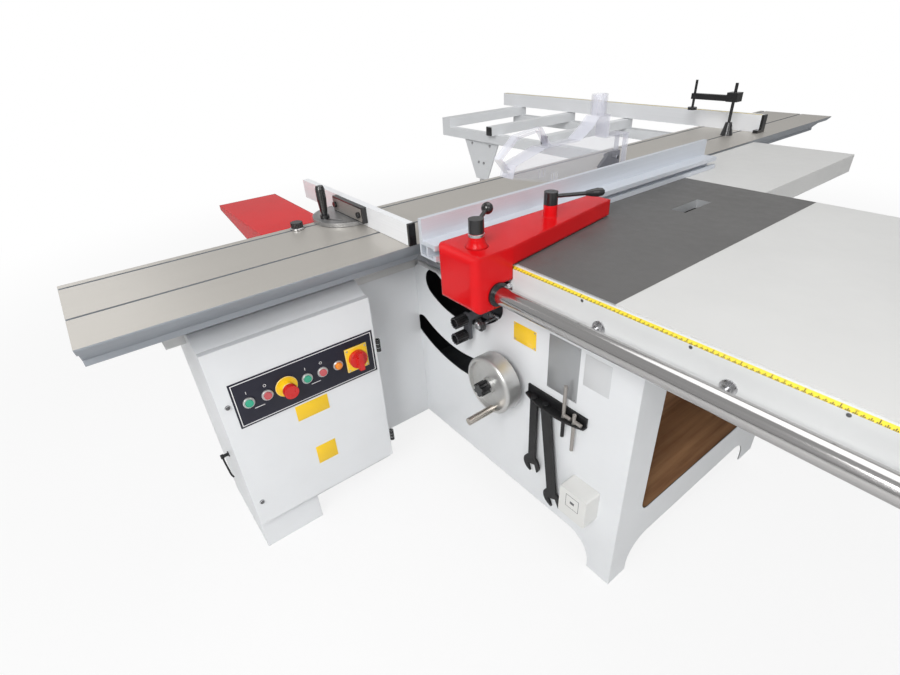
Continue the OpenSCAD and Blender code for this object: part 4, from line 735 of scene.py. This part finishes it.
@dataclass
class SubAssembly(ABC):
    """Group of small pieces, with the modelling steps they share, in millimetres of the blade's frame."""

    palette: Palette

    @abstractmethod
    def build(self) -> None:
        """Make the pieces and settle each one on its body."""

    def plate(self, low: Triple, high: Triple, edge: float, lean: float = 0.0) -> Object:
        """Flat or block-like piece between two corners.

        Args:
            low: Lowest corner.
            high: Highest corner.
            edge: Width of the softened edges.
            lean: Turn about its middle that lowers its front edge, in radians.

        Returns:
            The piece.
        """
        start, end = place(*low), place(*high)
        self._clear()
        bpy.ops.mesh.primitive_cube_add(size=1.0, location=(start + end) / 2)
        bpy.context.active_object.scale = end - start
        bpy.context.active_object.rotation_euler.x = lean
        return self._finished(edge)

    def turned(self, start: Triple, axis: Axis, profile: Profile, segments: int = 40) -> Object:
        """Round piece whose base disc is extruded from ring to ring.

        Args:
            start: Middle of the base.
            axis: Direction that the piece rises along.
            profile: Radius and height of each ring.
            segments: Sides of each ring.

        Returns:
            The piece.
        """
        (radius, height), *rings = ((ring * MM, level * MM) for ring, level in profile)
        self._clear()
        bpy.ops.mesh.primitive_circle_add(vertices=segments, radius=radius, fill_type="NGON",
                                          location=(0.0, 0.0, height))
        self._open()
        for next_radius, next_height in rings:
            rise = (0.0, 0.0, next_height - height)
            bpy.ops.mesh.extrude_region_move(TRANSFORM_OT_translate={"value": rise})
            share = next_radius / radius
            bpy.ops.transform.resize(value=(share, share, 1.0), center_override=(0.0, 0.0, next_height))
            radius, height = next_radius, next_height
        self._close()
        bpy.context.active_object.matrix_world = Matrix.Translation(place(*start)) @ axis.turn()
        return self._finished()

    def spun(self, start: Triple, axis: Axis, section: Profile) -> Object:
        """Closed ring spun from a section.

        Args:
            start: Middle of the base.
            axis: Direction that the ring rises along.
            section: Radius and height of each corner.

        Returns:
            The piece.
        """
        self._clear()
        bpy.ops.mesh.primitive_circle_add(vertices=len(section), radius=1.0)
        piece = bpy.context.active_object
        for vertex, (radius, height) in zip(piece.data.vertices, section):
            vertex.co = (radius * MM, 0.0, height * MM)
        self._open()
        bpy.ops.mesh.spin(steps=48, angle=2 * math.pi, center=(0.0, 0.0, 0.0), axis=(0.0, 0.0, 1.0))
        bpy.ops.mesh.select_all(action="SELECT")
        bpy.ops.mesh.remove_doubles(threshold=1e-6)
        self._close()
        piece.matrix_world = Matrix.Translation(place(*start)) @ axis.turn()
        return self._finished()

    def outline(self, low: Triple, high: Triple, line: float, edge: float) -> list[Object]:
        """Thin printed frame of four strips on an upright face, between two corners.

        Args:
            low: Lowest corner.
            high: Highest corner.
            line: Width of the strips.
            edge: Width of their softened edges.

        Returns:
            The strips.
        """
        wide = max((0, 1), key=lambda axis: high[axis] - low[axis])
        strips = []
        for axis in (2, wide):
            for near in (True, False):
                start, end = list(low), list(high)
                if near:
                    end[axis] = low[axis] + line
                else:
                    start[axis] = high[axis] - line
                if axis == wide:
                    start[2], end[2] = low[2] + line, high[2] - line
                strips.append(self.plate(tuple(start), tuple(end), edge))
        return strips

    def settle(self, name: str, finish: str, body: str, slot: str, *parts: Object) -> None:
        """Join parts into one piece, dress it and let it move with a body.

        Args:
            name: Name for the piece.
            finish: Finish to give it.
            body: Body that carries it.
            slot: Material slot of the record that it goes with; not used.
            parts: What the piece is joined from.
        """
        self._clear()
        for part in parts:
            part.select_set(True)
        piece = parts[0]
        bpy.context.view_layer.objects.active = piece
        if len(parts) > 1:
            bpy.ops.object.join()
        piece.name = name
        self.palette.dress(piece, finish)
        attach(piece, body)
        LOG.info("%s rides on %s", piece.name, body)

    def _finished(self, edge: float = 0.0, angle: float = 35.0) -> Object:
        """Apply the place of the active piece, soften its edges and smooth it.

        Args:
            edge: Width of the softened edges.
            angle: Edges sharper than this, in degrees, are softened.

        Returns:
            The piece.
        """
        piece = bpy.context.active_object
        bpy.ops.object.transform_apply(location=True, rotation=True, scale=True)
        if edge:
            soften = piece.modifiers.new("soft_edges", "BEVEL")
            soften.width = edge * MM
            soften.segments = 2
            soften.limit_method = "ANGLE"
            soften.angle_limit = math.radians(angle)
            bpy.ops.object.modifier_apply(modifier=soften.name)
        bpy.ops.object.shade_smooth_by_angle(angle=math.radians(angle))
        return piece

    def _clear(self) -> None:
        """Deselect everything."""
        bpy.ops.object.select_all(action="DESELECT")

    def _open(self) -> None:
        """Go into edit mode with everything selected."""
        bpy.ops.object.mode_set(mode="EDIT")
        bpy.ops.mesh.select_all(action="SELECT")

    def _close(self) -> None:
        """Turn all faces outwards and leave edit mode."""
        bpy.ops.mesh.select_all(action="SELECT")
        bpy.ops.mesh.normals_make_consistent(inside=False)
        bpy.ops.object.mode_set(mode="OBJECT")


@dataclass
class ControlPanel(SubAssembly):
    """Dark panel on the cabinet door with its collars, lamp, plates and marks."""

    face: float = -94.5
    z: float = 556.0
    button_y: tuple[float, ...] = (-621.0, -571.0, -457.0, -410.0)
    stop_y: float = -516.0
    lamp_y: float = -361.0
    switch_y: float = -300.0
    # Depths are off the door's face, and rises over the buttons' row
    sheet_y: Pair = (-658.6, -239.4)
    sheet_rise: Pair = (-72.6, 70.6)
    sheet_depth: Pair = (-1.2, 0.4)
    sheet_edge: float = 0.3
    border: float = 2.2
    border_inset: float = 5.0
    border_depth: Pair = (0.3, 0.55)
    # Outer radius, inner radius and height of each ring, and how far its rims are cut back
    button_ring: Triple = (15.5, 10.95, 6.3)
    stop_disc: Triple = (31.4, 16.9, 2.5)
    stop_collar: Triple = (17.4, 8.4, 16.2)
    lamp_ring: Triple = (15.0, 10.85, 5.0)
    outer_cut: Pair = (1.2, 1.5)
    inner_cut: Pair = (0.6, 0.8)
    lens: Profile = ((10.8, 0.0), (10.8, 9.0), (10.2, 10.8), (8.2, 12.2), (5.0, 13.0), (1.2, 13.3))
    switch_half: Pair = (35.4, 39.4)
    switch_depth: Pair = (-0.2, 5.25)
    switch_edge: float = 1.5
    screw_at: Pair = (29.0, 33.0)
    screw_depth: float = 5.1
    screw: Profile = ((3.0, 0.0), (3.0, 1.0), (2.2, 1.6), (0.8, 1.8))
    mark_rise: float = 30.0
    mark_depth: Pair = (0.3, 0.6)
    mark_edge: float = 0.05
    stroke_half: Pair = (0.7, 4.5)
    ring_mark: Profile = ((3.0, 0.0), (4.2, 0.0), (4.2, 0.3), (3.0, 0.3))
    dash_y: Pair = (-597.0, -434.0)
    dash_rise: float = -26.0
    dash_half: Pair = (14.0, 1.0)

    def build(self) -> None:
        """Make the panel's pieces."""
        self._sheet()
        collars = [self._ring(y, self.button_ring) for y in self.button_y]
        self.settle("button_collars", "cast_aluminium", "door", "cast_alu", *collars)
        for name, size in (("stop_disc", self.stop_disc), ("stop_collar", self.stop_collar)):
            self.settle(name, "signal_yellow", "door", "body_paint", self._ring(self.stop_y, size))
        lens = self.turned(self._at(0.0, self.lamp_y), Axis.X, self.lens)
        self.settle("lamp_lens", "amber_lens", "door", "body_paint", lens)
        collar = self._ring(self.lamp_y, self.lamp_ring)
        self.settle("lamp_collar", "cast_aluminium", "door", "cast_alu", collar)
        self._switch_plate()
        self._marks()

    def _at(self, depth: float, y: float, rise: float = 0.0) -> Triple:
        """Point by its depth off the door's face and its rise over the buttons' row."""
        return (self.face + depth, y, self.z + rise)

    def _block(self, middle: Pair, half: Pair, depth: Pair, edge: float) -> Object:
        """Block on the panel."""
        (y, rise), (wide, high), (back, front) = middle, half, depth
        return self.plate(self._at(back, y - wide, rise - high), self._at(front, y + wide, rise + high), edge)

    def _ring(self, y: float, size: Triple) -> Object:
        """Collar with a rounded rim and an open middle.

        Args:
            y: Its place along the panel.
            size: Outer radius, inner radius and height.

        Returns:
            The collar.
        """
        (outer, inner, height), (out, down), (back, under) = size, self.outer_cut, self.inner_cut
        section = ((inner, 0.0), (outer, 0.0), (outer, height - down), (outer - out, height),
                   (inner + back, height), (inner, height - under))
        return self.spun(self._at(0.0, y), Axis.X, section)

    def _sheet(self) -> None:
        """Printed sheet with a thin pale frame line."""
        (start, end), (low, high), inset = self.sheet_y, self.sheet_rise, self.border_inset
        back, front = self.sheet_depth
        sheet = self.plate(self._at(back, start, low), self._at(front, end, high), self.sheet_edge)
        self.settle("panel_sheet", "panel_navy", "door", "body_paint", sheet)
        back, front = self.border_depth
        strips = self.outline(self._at(back, start + inset, low + inset),
                              self._at(front, end - inset, high - inset), self.border, self.mark_edge)
        self.settle("panel_frame_line", "mark_white", "door", "body_paint", *strips)

    def _switch_plate(self) -> None:
        """Yellow plate behind the main switch, with its corner screws."""
        slab = self._block((self.switch_y, 0.0), self.switch_half, self.switch_depth, self.switch_edge)
        self.settle("switch_plate", "signal_yellow", "door", "body_paint", slab)
        across, up = self.screw_at
        corners = [self._at(self.screw_depth, self.switch_y + dy, dz)
                   for dy in (-across, across) for dz in (-up, up)]
        heads = [self.turned(corner, Axis.X, self.screw, segments=16) for corner in corners]
        self.settle("plate_screws", "bright_steel", "door", "bright_steel", *heads)

    def _marks(self) -> None:
        """Plain strokes and rings above the buttons: a stroke for start, a ring for stop."""
        marks: list[Object] = []
        for index, y in enumerate(self.button_y):
            if index % 2:
                base = self._at(self.mark_depth[0], y, self.mark_rise)
                marks.append(self.spun(base, Axis.X, self.ring_mark))
            else:
                middle = (y, self.mark_rise)
                marks.append(self._block(middle, self.stroke_half, self.mark_depth, self.mark_edge))
        for y in self.dash_y:
            middle = (y, self.dash_rise)
            marks.append(self._block(middle, self.dash_half, self.mark_depth, self.mark_edge))
        self.settle("button_marks", "mark_white", "door", "body_paint", *marks)


@dataclass
class DoorTrim(SubAssembly):
    """Blank plates, locks and hinge barrels of the cabinet."""

    face: float = -96.0
    plates: tuple[Area, ...] = ((-510.0, 424.0, -411.0, 477.0), (-482.0, 238.0, -418.0, 305.0))
    plate_depth: Pair = (-0.1, 0.6)
    edge: float = 0.3
    lock_y: float = -673.0
    lock_z: Pair = (564.0, 208.0)
    lock_head: Profile = ((6.8, 0.0), (6.8, 1.5), (5.8, 3.0), (5.6, 4.4), (4.0, 4.8))
    key_depth: Pair = (4.4, 5.6)
    key_half: Pair = (0.8, 3.6)
    hinge_y: float = -223.7
    hinge_z: Pair = (565.0, 204.0)
    hinge_h: float = 14.0
    hinge_r: float = 7.6
    hinge_gap: float = 0.3
    hinge_cut: float = 0.8

    def build(self) -> None:
        """Make the plates, the locks, and the turning and fixed barrels."""
        for index, area in enumerate(self.plates):
            plate = self._block(area, self.plate_depth)
            self.settle(f"door_plate_{index}", "signal_yellow", "door", "body_paint", plate)
        locks: list[Object] = []
        y, (wide, high) = self.lock_y, self.key_half
        for z in self.lock_z:
            locks.append(self.turned((self.face, y, z), Axis.X, self.lock_head))
            locks.append(self._block((y - wide, z - high, y + wide, z + high), self.key_depth))
        self.settle("door_locks", "dark_steel", "door", "bright_steel", *locks)
        turning = [self._barrel(z, self.hinge_gap) for z in self.hinge_z]
        self.settle("turning_hinge_barrels", "black_gloss_plastic", "door", "black_plastic", *turning)
        fixed = [self._barrel(z + side * self.hinge_h, 0.0) for z in self.hinge_z for side in (-1, 1)]
        self.settle("fixed_hinge_barrels", "black_gloss_plastic", "base", "black_plastic", *fixed)

    def _block(self, area: Area, depth: Pair) -> Object:
        """Block on the door, over an area and between two depths off the face."""
        (y0, z0, y1, z1), (back, front) = area, depth
        return self.plate((self.face + back, y0, z0), (self.face + front, y1, z1), self.edge)

    def _barrel(self, z: float, gap: float) -> Object:
        """Hinge barrel with chamfered ends.

        Args:
            z: Height of its middle.
            gap: How much it is shorter at each end.

        Returns:
            The barrel.
        """
        radius, cut, height = self.hinge_r, self.hinge_cut, self.hinge_h - 2 * gap
        profile = ((radius - cut, 0.0), (radius, cut), (radius, height - cut), (radius - cut, height))
        return self.turned((self.face, self.hinge_y, z - height / 2), Axis.Z, profile, segments=24)


@dataclass
class SideRod(SubAssembly):
    """Small bent rod on a stud at the outer side of the cabinet."""

    x: float = -250.0
    face: float = -696.0
    z: float = 303.0
    reach: float = 19.0
    radius: float = 2.8
    sides: int = 16
    edge: float = 0.7
    edge_angle: float = 60.0
    stud: Profile = (
        (9.0, 0.0), (9.0, -3.0), (5.0, -3.6), (5.0, -14.0), (7.2, -15.0), (7.2, -23.0), (6.0, -24.4))
    # Length of each run, and the bend after it in degrees
    runs: Profile = ((18.0, 4.0), (55.0, 4.0), (10.0, 12.0), (10.0, 0.0))

    def build(self) -> None:
        """Make the rod and its stud."""
        stud = self.turned((self.x, self.face, self.z), Axis.Y, self.stud)
        self.settle("cabinet_side_rod", "black_tool_steel", "base", "tool_steel", stud, self._rod())

    def _rod(self) -> Object:
        """Rod that hangs down from the stud and bends towards the back between its runs.

        Returns:
            The rod.
        """
        self._clear()
        bpy.ops.mesh.primitive_circle_add(vertices=self.sides, radius=self.radius * MM, fill_type="NGON")
        self._open()
        middle = Vector()
        heading = Vector((0.0, 0.0, -1.0))
        for length, bend in self.runs:
            step = heading * length * MM
            middle = middle + step
            bpy.ops.mesh.extrude_region_move(TRANSFORM_OT_translate={"value": step})
            turn = math.radians(bend)
            bpy.ops.transform.rotate(value=-turn, orient_axis="X", center_override=middle)
            heading = Matrix.Rotation(turn, 3, "X") @ heading
        self._close()
        bpy.context.active_object.location = place(self.x, self.face - self.reach, self.z)
        return self._finished(self.edge, self.edge_angle)


@dataclass
class BodyPlates(SubAssembly):
    """Blank plates riveted to the front of the body, and a dark sheet of painted shade across its inside."""

    face: float = 14.0
    yellow: Area = (252.0, 647.0, 336.0, 704.0)
    grey: Area = (381.0, 560.0, 482.0, 723.0)
    white: Area = (496.0, 628.0, 573.0, 717.0)
    depth: Pair = (-0.8, 0.1)
    edge: float = 0.3
    rivet: Profile = ((2.6, 0.0), (2.4, -0.6), (1.6, -1.1), (0.5, -1.3))
    rivet_in: float = 5.0
    rivet_depth: float = -0.7
    # Corners of a dark sheet low inside the body: painted shade that keeps the lit floor from showing through
    # the slots
    shade_sheet_low: Triple = (-427.5, 16.5, 194.0)
    shade_sheet_high: Triple = (651.5, 855.5, 196.0)
    sheet_edge: float = 0.5

    def build(self) -> None:
        """Make the plates, their rivets and the dark sheet of painted shade."""
        front, back = (self.face + depth for depth in self.depth)
        plates = (("yellow_plate", "signal_yellow", self.yellow), ("grey_plate", "plate_grey", self.grey),
                  ("white_plate", "plate_white", self.white))
        for name, finish, (x0, z0, x1, z1) in plates:
            plate = self.plate((x0, front, z0), (x1, back, z1), self.edge)
            self.settle(name, finish, "base", "body_paint", plate)
        inset, y = self.rivet_in, self.face + self.rivet_depth
        corners = [(x, y, z) for x0, z0, x1, z1 in (self.yellow, self.grey)
                   for x in (x0 + inset, x1 - inset) for z in (z0 + inset, z1 - inset)]
        rivets = [self.turned(corner, Axis.Y, self.rivet, segments=16) for corner in corners]
        self.settle("plate_rivets", "bright_steel", "base", "bright_steel", *rivets)
        # Dark sheet of painted shade across the body's inside
        sheet = self.plate(self.shade_sheet_low, self.shade_sheet_high, self.sheet_edge)
        self.settle("body_shade_sheet", "unit_primer", "base", "body_paint", sheet)


@dataclass
class BoxMark(SubAssembly):
    """Plain outline and bar printed on the front of the junction box."""

    frame_low: Triple = (519.0, -41.2, 261.0)
    frame_high: Triple = (563.0, -40.9, 305.0)
    bar_low: Triple = (534.0, -41.2, 278.0)
    bar_high: Triple = (548.0, -40.9, 287.0)
    line: float = 1.3
    edge: float = 0.05

    def build(self) -> None:
        """Make the mark."""
        strips = self.outline(self.frame_low, self.frame_high, self.line, self.edge)
        bar = self.plate(self.bar_low, self.bar_high, self.edge)
        self.settle("box_mark", "mark_grey", "base", "box_plastic", *strips, bar)


@dataclass
class Scales(SubAssembly):
    """Yellow scale tapes on the rail and on the crosscut fence."""

    rail_x: Pair = (140.0, 1438.0)
    slope_middle: Pair = (-12.0, 874.0)
    slope: Pair = (10.0, 4.0)
    tape_w: float = 10.1
    tape: float = 0.35
    tape_edge: float = 0.1
    fence_low: Triple = (-1955.0, 2003.0, 959.9)
    fence_high: Triple = (-90.0, 2015.0, 960.35)
    number_step: int = 100
    # Place of a number beside its mark, and its height off the slope
    number_at: Triple = (5.0, 0.8, 0.3)
    number_lift: float = 0.38
    digit: float = 4.0
    ink: float = 0.06

    def build(self) -> None:
        """Make both tapes and the rail's numbers."""
        lean = math.atan2(self.slope[1], self.slope[0])
        (start, end), half = self.rail_x, self.tape_w / 2
        rail = self.plate(self._on_slope(start, -half, -self.tape), self._on_slope(end, half, self.tape),
                          self.tape_edge, lean)
        self.settle("rail_tape", "rail_scale_tape", "base", "rail_paint", rail)
        fence = self.plate(self.fence_low, self.fence_high, self.tape_edge)
        self.settle("crosscut_tape", "crosscut_scale_tape", "crosscut", "fence_alu", fence)
        values = range(2 * self.number_step, int(end), self.number_step)
        numbers = [self._number(value, lean) for value in values]
        self.settle("rail_numbers", "mark_black", "base", "rail_paint", *numbers)

    def _on_slope(self, x: float, across: float, rise: float) -> Triple:
        """Point beside the middle line of the rail's sloping face."""
        return (x, self.slope_middle[0] + across, self.slope_middle[1] + rise)

    def _number(self, value: int, lean: float) -> Object:
        """Small printed number of centimetres, lying on the slope and read from the front.

        Args:
            value: Distance from the blade in millimetres.
            lean: Slope of the face, in radians.

        Returns:
            The number as a mesh.
        """
        self._clear()
        bpy.ops.object.text_add(location=(0.0, 0.0, 0.0))
        letters = bpy.context.active_object.data
        letters.body = str(value // 10)
        letters.size = self.digit * MM
        letters.align_x = "CENTER"
        letters.extrude = self.ink * MM / 2
        bpy.ops.object.convert(target="MESH")
        along, across, rise = self.number_at
        across -= math.sin(lean) * self.number_lift
        rise += math.cos(lean) * self.number_lift
        piece = bpy.context.active_object
        piece.location = place(*self._on_slope(value + along, across, rise))
        piece.rotation_euler.x = lean
        return self._finished()


@dataclass
class RailScrews(SubAssembly):
    """Small dark screws in a row along the front of the rail."""

    first: float = 241.3
    pitch: float = 252.7
    count: int = 5
    face: float = -17.0
    z: float = 866.8
    head: Profile = ((3.8, 0.0), (3.6, -0.3), (3.0, -0.5), (1.4, -0.6))

    def build(self) -> None:
        """Make the screws."""
        row = (self.first + index * self.pitch for index in range(self.count))
        heads = [self.turned((x, self.face, self.z), Axis.Y, self.head, segments=20) for x in row]
        self.settle("rail_screws", "dark_steel", "base", "bright_steel", *heads)


@dataclass
class HeadTrim(SubAssembly):
    """Flared foot and bright washer under the head's clamp lever."""

    foot_at: Triple = (215.0, -78.0, 929.5)
    foot: Profile = (
        (30.0, 0.0), (28.5, 1.2), (25.0, 4.5), (22.2, 9.5), (20.4, 16.0), (19.4, 23.5), (18.5, 24.0))
    washer_at: Triple = (215.0, -78.0, 955.5)
    washer: Profile = ((18.8, 0.0), (19.9, 1.0), (19.9, 7.0), (18.8, 8.0))

    def build(self) -> None:
        """Make the foot and the washer."""
        foot = self.turned(self.foot_at, Axis.Z, self.foot)
        self.settle("boss_foot", "red_gloss_paint", "rip_head", "red_paint", foot)
        washer = self.turned(self.washer_at, Axis.Z, self.washer)
        self.settle("lever_washer", "bright_steel", "rip_head", "bright_steel", washer)


@dataclass
class SlidingTrim(SubAssembly):
    """Pale face of the mitre bracket and the bright base of the wing's knob."""

    face_low: Triple = (-419.0, -144.6, 898.0)
    face_high: Triple = (-239.0, -143.9, 936.0)
    face_edge: float = 0.2
    knob_at: Triple = (-374.0, -293.5, 880.4)
    knob_base: Profile = ((20.0, 0.0), (21.2, 1.0), (21.2, 5.6), (20.0, 6.6))

    def build(self) -> None:
        """Make both pieces."""
        face = self.plate(self.face_low, self.face_high, self.face_edge)
        self.settle("bracket_face", "bracket_grey", "miter", "black_plastic", face)
        base = self.turned(self.knob_at, Axis.Z, self.knob_base)
        self.settle("wing_knob_base", "bright_steel", "wing_screw", "bright_steel", base)


@dataclass
class AdjusterLock(SubAssembly):
    """Lock nut of the scoring adjusters on its stud through the upper slot."""

    stud_at: Triple = (146.0, 41.0, 660.0)
    stud: Profile = ((5.0, 0.0), (5.0, -67.0), (4.2, -68.0))
    link_low: Triple = (108.0, 40.0, 651.0)
    link_high: Triple = (157.0, 47.0, 668.0)
    link_edge: float = 1.0
    nut_at: Triple = (146.0, -21.0, 660.0)
    nut: Profile = ((13.0, 0.0), (13.0, -8.5), (10.8, -10.5))
    ring_at: Triple = (146.0, -11.0, 660.0)
    ring: Profile = ((18.5, 0.0), (20.5, -1.4), (20.5, -9.4), (18.5, -10.8))

    def build(self) -> None:
        """Make the stud on its link, the nut and the grip ring."""
        stud = self.turned(self.stud_at, Axis.Y, self.stud, segments=20)
        link = self.plate(self.link_low, self.link_high, self.link_edge)
        nut = self.turned(self.nut_at, Axis.Y, self.nut, segments=6)
        self.settle("adjuster_lock", "bright_steel", "tilt", "bright_steel", stud, link, nut)
        ring = self.turned(self.ring_at, Axis.Y, self.ring, segments=12)
        self.settle("lock_ring", "black_gloss_plastic", "tilt", "black_plastic", ring)


@dataclass
class OutriggerTrim(SubAssembly):
    """Plugs in the outrigger's tubes and bolts on its bracket."""

    plug_x: tuple[Pair, ...] = ((-1349.0, -1301.0), (-899.0, -851.0))
    plug_y: Pair = (1297.0, 1300.5)
    plug_z: Pair = (826.0, 875.0)
    plug_edge: float = 1.5
    bolts: Profile = ((-1560.0, 750.0), (-1390.0, 750.0), (-1500.0, 640.0), (-1450.0, 640.0))
    bracket_y: float = 1361.0
    bolt: Profile = ((9.0, 0.0), (9.0, -1.6), (6.5, -1.8), (6.5, -6.0), (5.6, -6.6))

    def build(self) -> None:
        """Make the plugs and the bolts."""
        plugs = [self.plate(*zip(ends, self.plug_y, self.plug_z), self.plug_edge) for ends in self.plug_x]
        self.settle("tube_plugs", "black_gloss_plastic", "sliding", "black_plastic", *plugs)
        heads = [self.turned((x, self.bracket_y, z), Axis.Y, self.bolt, segments=6) for x, z in self.bolts]
        self.settle("bracket_bolts", "bright_steel", "sliding", "bright_steel", *heads)


@dataclass
class Studio:
    """Plain floor, soft lights and the photograph's camera."""

    camera_at: Triple = (1.34576, -1.70528, 1.37443)
    forward: Triple = (-0.67560, 0.51667, -0.52595)
    up: Triple = (-0.38974, 0.35527, 0.84964)
    lens: float = 20.16
    sensor: float = 36.0
    shift: Pair = (-0.01754, 0.00401)
    nearest: float = 0.02
    world_level: float = 0.27
    mirror_level: float = 0.45
    floor_size: float = 60.0
    floor_color: Color = (0.68, 0.68, 0.68)
    floor_roughness: float = 0.9
    floor_white: float = 0.85
    fade: Pair = (2.2, 4.6)
    # Place, size and power of each lamp
    lamps: dict[str, tuple[Triple, float, float]] = field(default_factory=lambda: {
        "key": ((2.4, -4.4, 3.6), 2.4, 205.0),
        "right": ((4.6, -1.2, 3.0), 2.4, 45.0),
        "left": ((-4.5, -2.5, 3.6), 3.0, 30.0),
        "top": ((0.6, 0.8, 5.2), 4.0, 85.0),
    })
    lamp_aim: Triple = (0.2, -0.6, 0.7)

    def build(self) -> None:
        """Set up the camera, floor, world and lamps."""
        bpy.context.scene.view_settings.view_transform = "Standard"
        self._camera()
        self._floor()
        self._world()
        for name, (at, size, power) in self.lamps.items():
            self._lamp(name, Vector(at), size, power)

    def _camera(self) -> None:
        """Camera at the photograph's place."""
        data = bpy.data.cameras.new("photo_camera")
        data.lens = self.lens
        data.sensor_width = self.sensor
        data.sensor_fit = "HORIZONTAL"
        data.shift_x, data.shift_y = self.shift
        data.clip_start = self.nearest
        camera = bpy.data.objects.new("photo_camera", data)
        bpy.context.scene.collection.objects.link(camera)
        back = -Vector(self.forward).normalized()
        right = Vector(self.up).cross(back).normalized()
        turn = Matrix((right, back.cross(right), back)).transposed().to_4x4()
        camera.matrix_world = Matrix.Translation(Vector(self.camera_at)) @ turn
        bpy.context.scene.camera = camera

    def _floor(self) -> None:
        """Large pale floor."""
        bpy.ops.object.select_all(action="DESELECT")
        bpy.ops.mesh.primitive_plane_add(size=self.floor_size, location=(0.0, 0.0, 0.0))
        floor = bpy.context.active_object
        floor.name = "studio_floor"
        material = bpy.data.materials.new("studio_floor")
        self._whiten(material)
        floor.data.materials.append(material)

    def _whiten(self, material: Material) -> None:
        """Let the camera see the floor turn white away from the machine, while it lights nothing more.

        Args:
            material: The floor's material.
        """
        on = Surface(material)
        on.shader.inputs["Base Color"].default_value = shade(self.floor_color)
        on.shader.inputs["Roughness"].default_value = self.floor_roughness
        distance = on.add("ShaderNodeVectorMath", operation="LENGTH")
        on.feed(distance.inputs[0], on.vector)
        far = on.add("ShaderNodeMapRange", interpolation_type="SMOOTHSTEP")
        on.feed(far.inputs["Value"], distance.outputs["Value"])
        far.inputs["From Min"].default_value, far.inputs["From Max"].default_value = self.fade
        far.inputs["To Min"].default_value = self.floor_white
        seen = on.add("ShaderNodeLightPath").outputs["Is Camera Ray"]
        glow = on.add("ShaderNodeEmission")
        glow.inputs["Strength"].default_value = 1.0
        mix = on.add("ShaderNodeMixShader")
        on.feed(mix.inputs[0], on.math("MULTIPLY", far.outputs["Result"], seen))
        on.feed(mix.inputs[1], on.shader.outputs[0])
        on.feed(mix.inputs[2], glow.outputs[0])
        on.feed(material.node_tree.nodes["Material Output"].inputs["Surface"], mix.outputs[0])

    def _world(self) -> None:
        """White surroundings, seen white and lighting softly."""
        world = bpy.data.worlds.new("studio_world")
        bpy.context.scene.world = world
        world.use_nodes = True
        bench = NodeBench(world.node_tree)
        background = world.node_tree.nodes["Background"]
        background.inputs["Color"].default_value = (1.0, 1.0, 1.0, 1.0)
        rays = bench.add("ShaderNodeLightPath").outputs
        seen = bench.math("MAXIMUM", rays["Is Camera Ray"], rays["Is Transmission Ray"])
        mirrored = bench.remap(rays["Is Glossy Ray"], (self.world_level, self.mirror_level))
        bench.feed(background.inputs["Strength"], bench.math("MAXIMUM", mirrored, seen))

    def _lamp(self, name: str, at: Vector, size: float, power: float) -> None:
        """Soft square lamp aimed at the machine.

        Args:
            name: Name for the lamp.
            at: Its place.
            size: Length of its sides.
            power: Its strength in watts.
        """
        data = bpy.data.lights.new(name, "AREA")
        data.size = size
        data.energy = power
        lamp = bpy.data.objects.new(name, data)
        bpy.context.scene.collection.objects.link(lamp)
        turn = (Vector(self.lamp_aim) - at).to_track_quat("-Z", "Y").to_matrix().to_4x4()
        lamp.matrix_world = Matrix.Translation(at) @ turn


def main() -> None:
    """Build the studio, dress the machine and add its small pieces."""
    logging.basicConfig(level=logging.INFO)
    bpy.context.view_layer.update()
    palette = Palette()
    Studio().build()
    Machine().dress(palette)
    kinds: tuple[type[SubAssembly], ...] = (
        ControlPanel, DoorTrim, SideRod, BodyPlates, BoxMark, Scales, RailScrews, HeadTrim, SlidingTrim,
        AdjusterLock, OutriggerTrim)
    for kind in kinds:
        kind(palette).build()


if __name__ == "__main__":
    main()
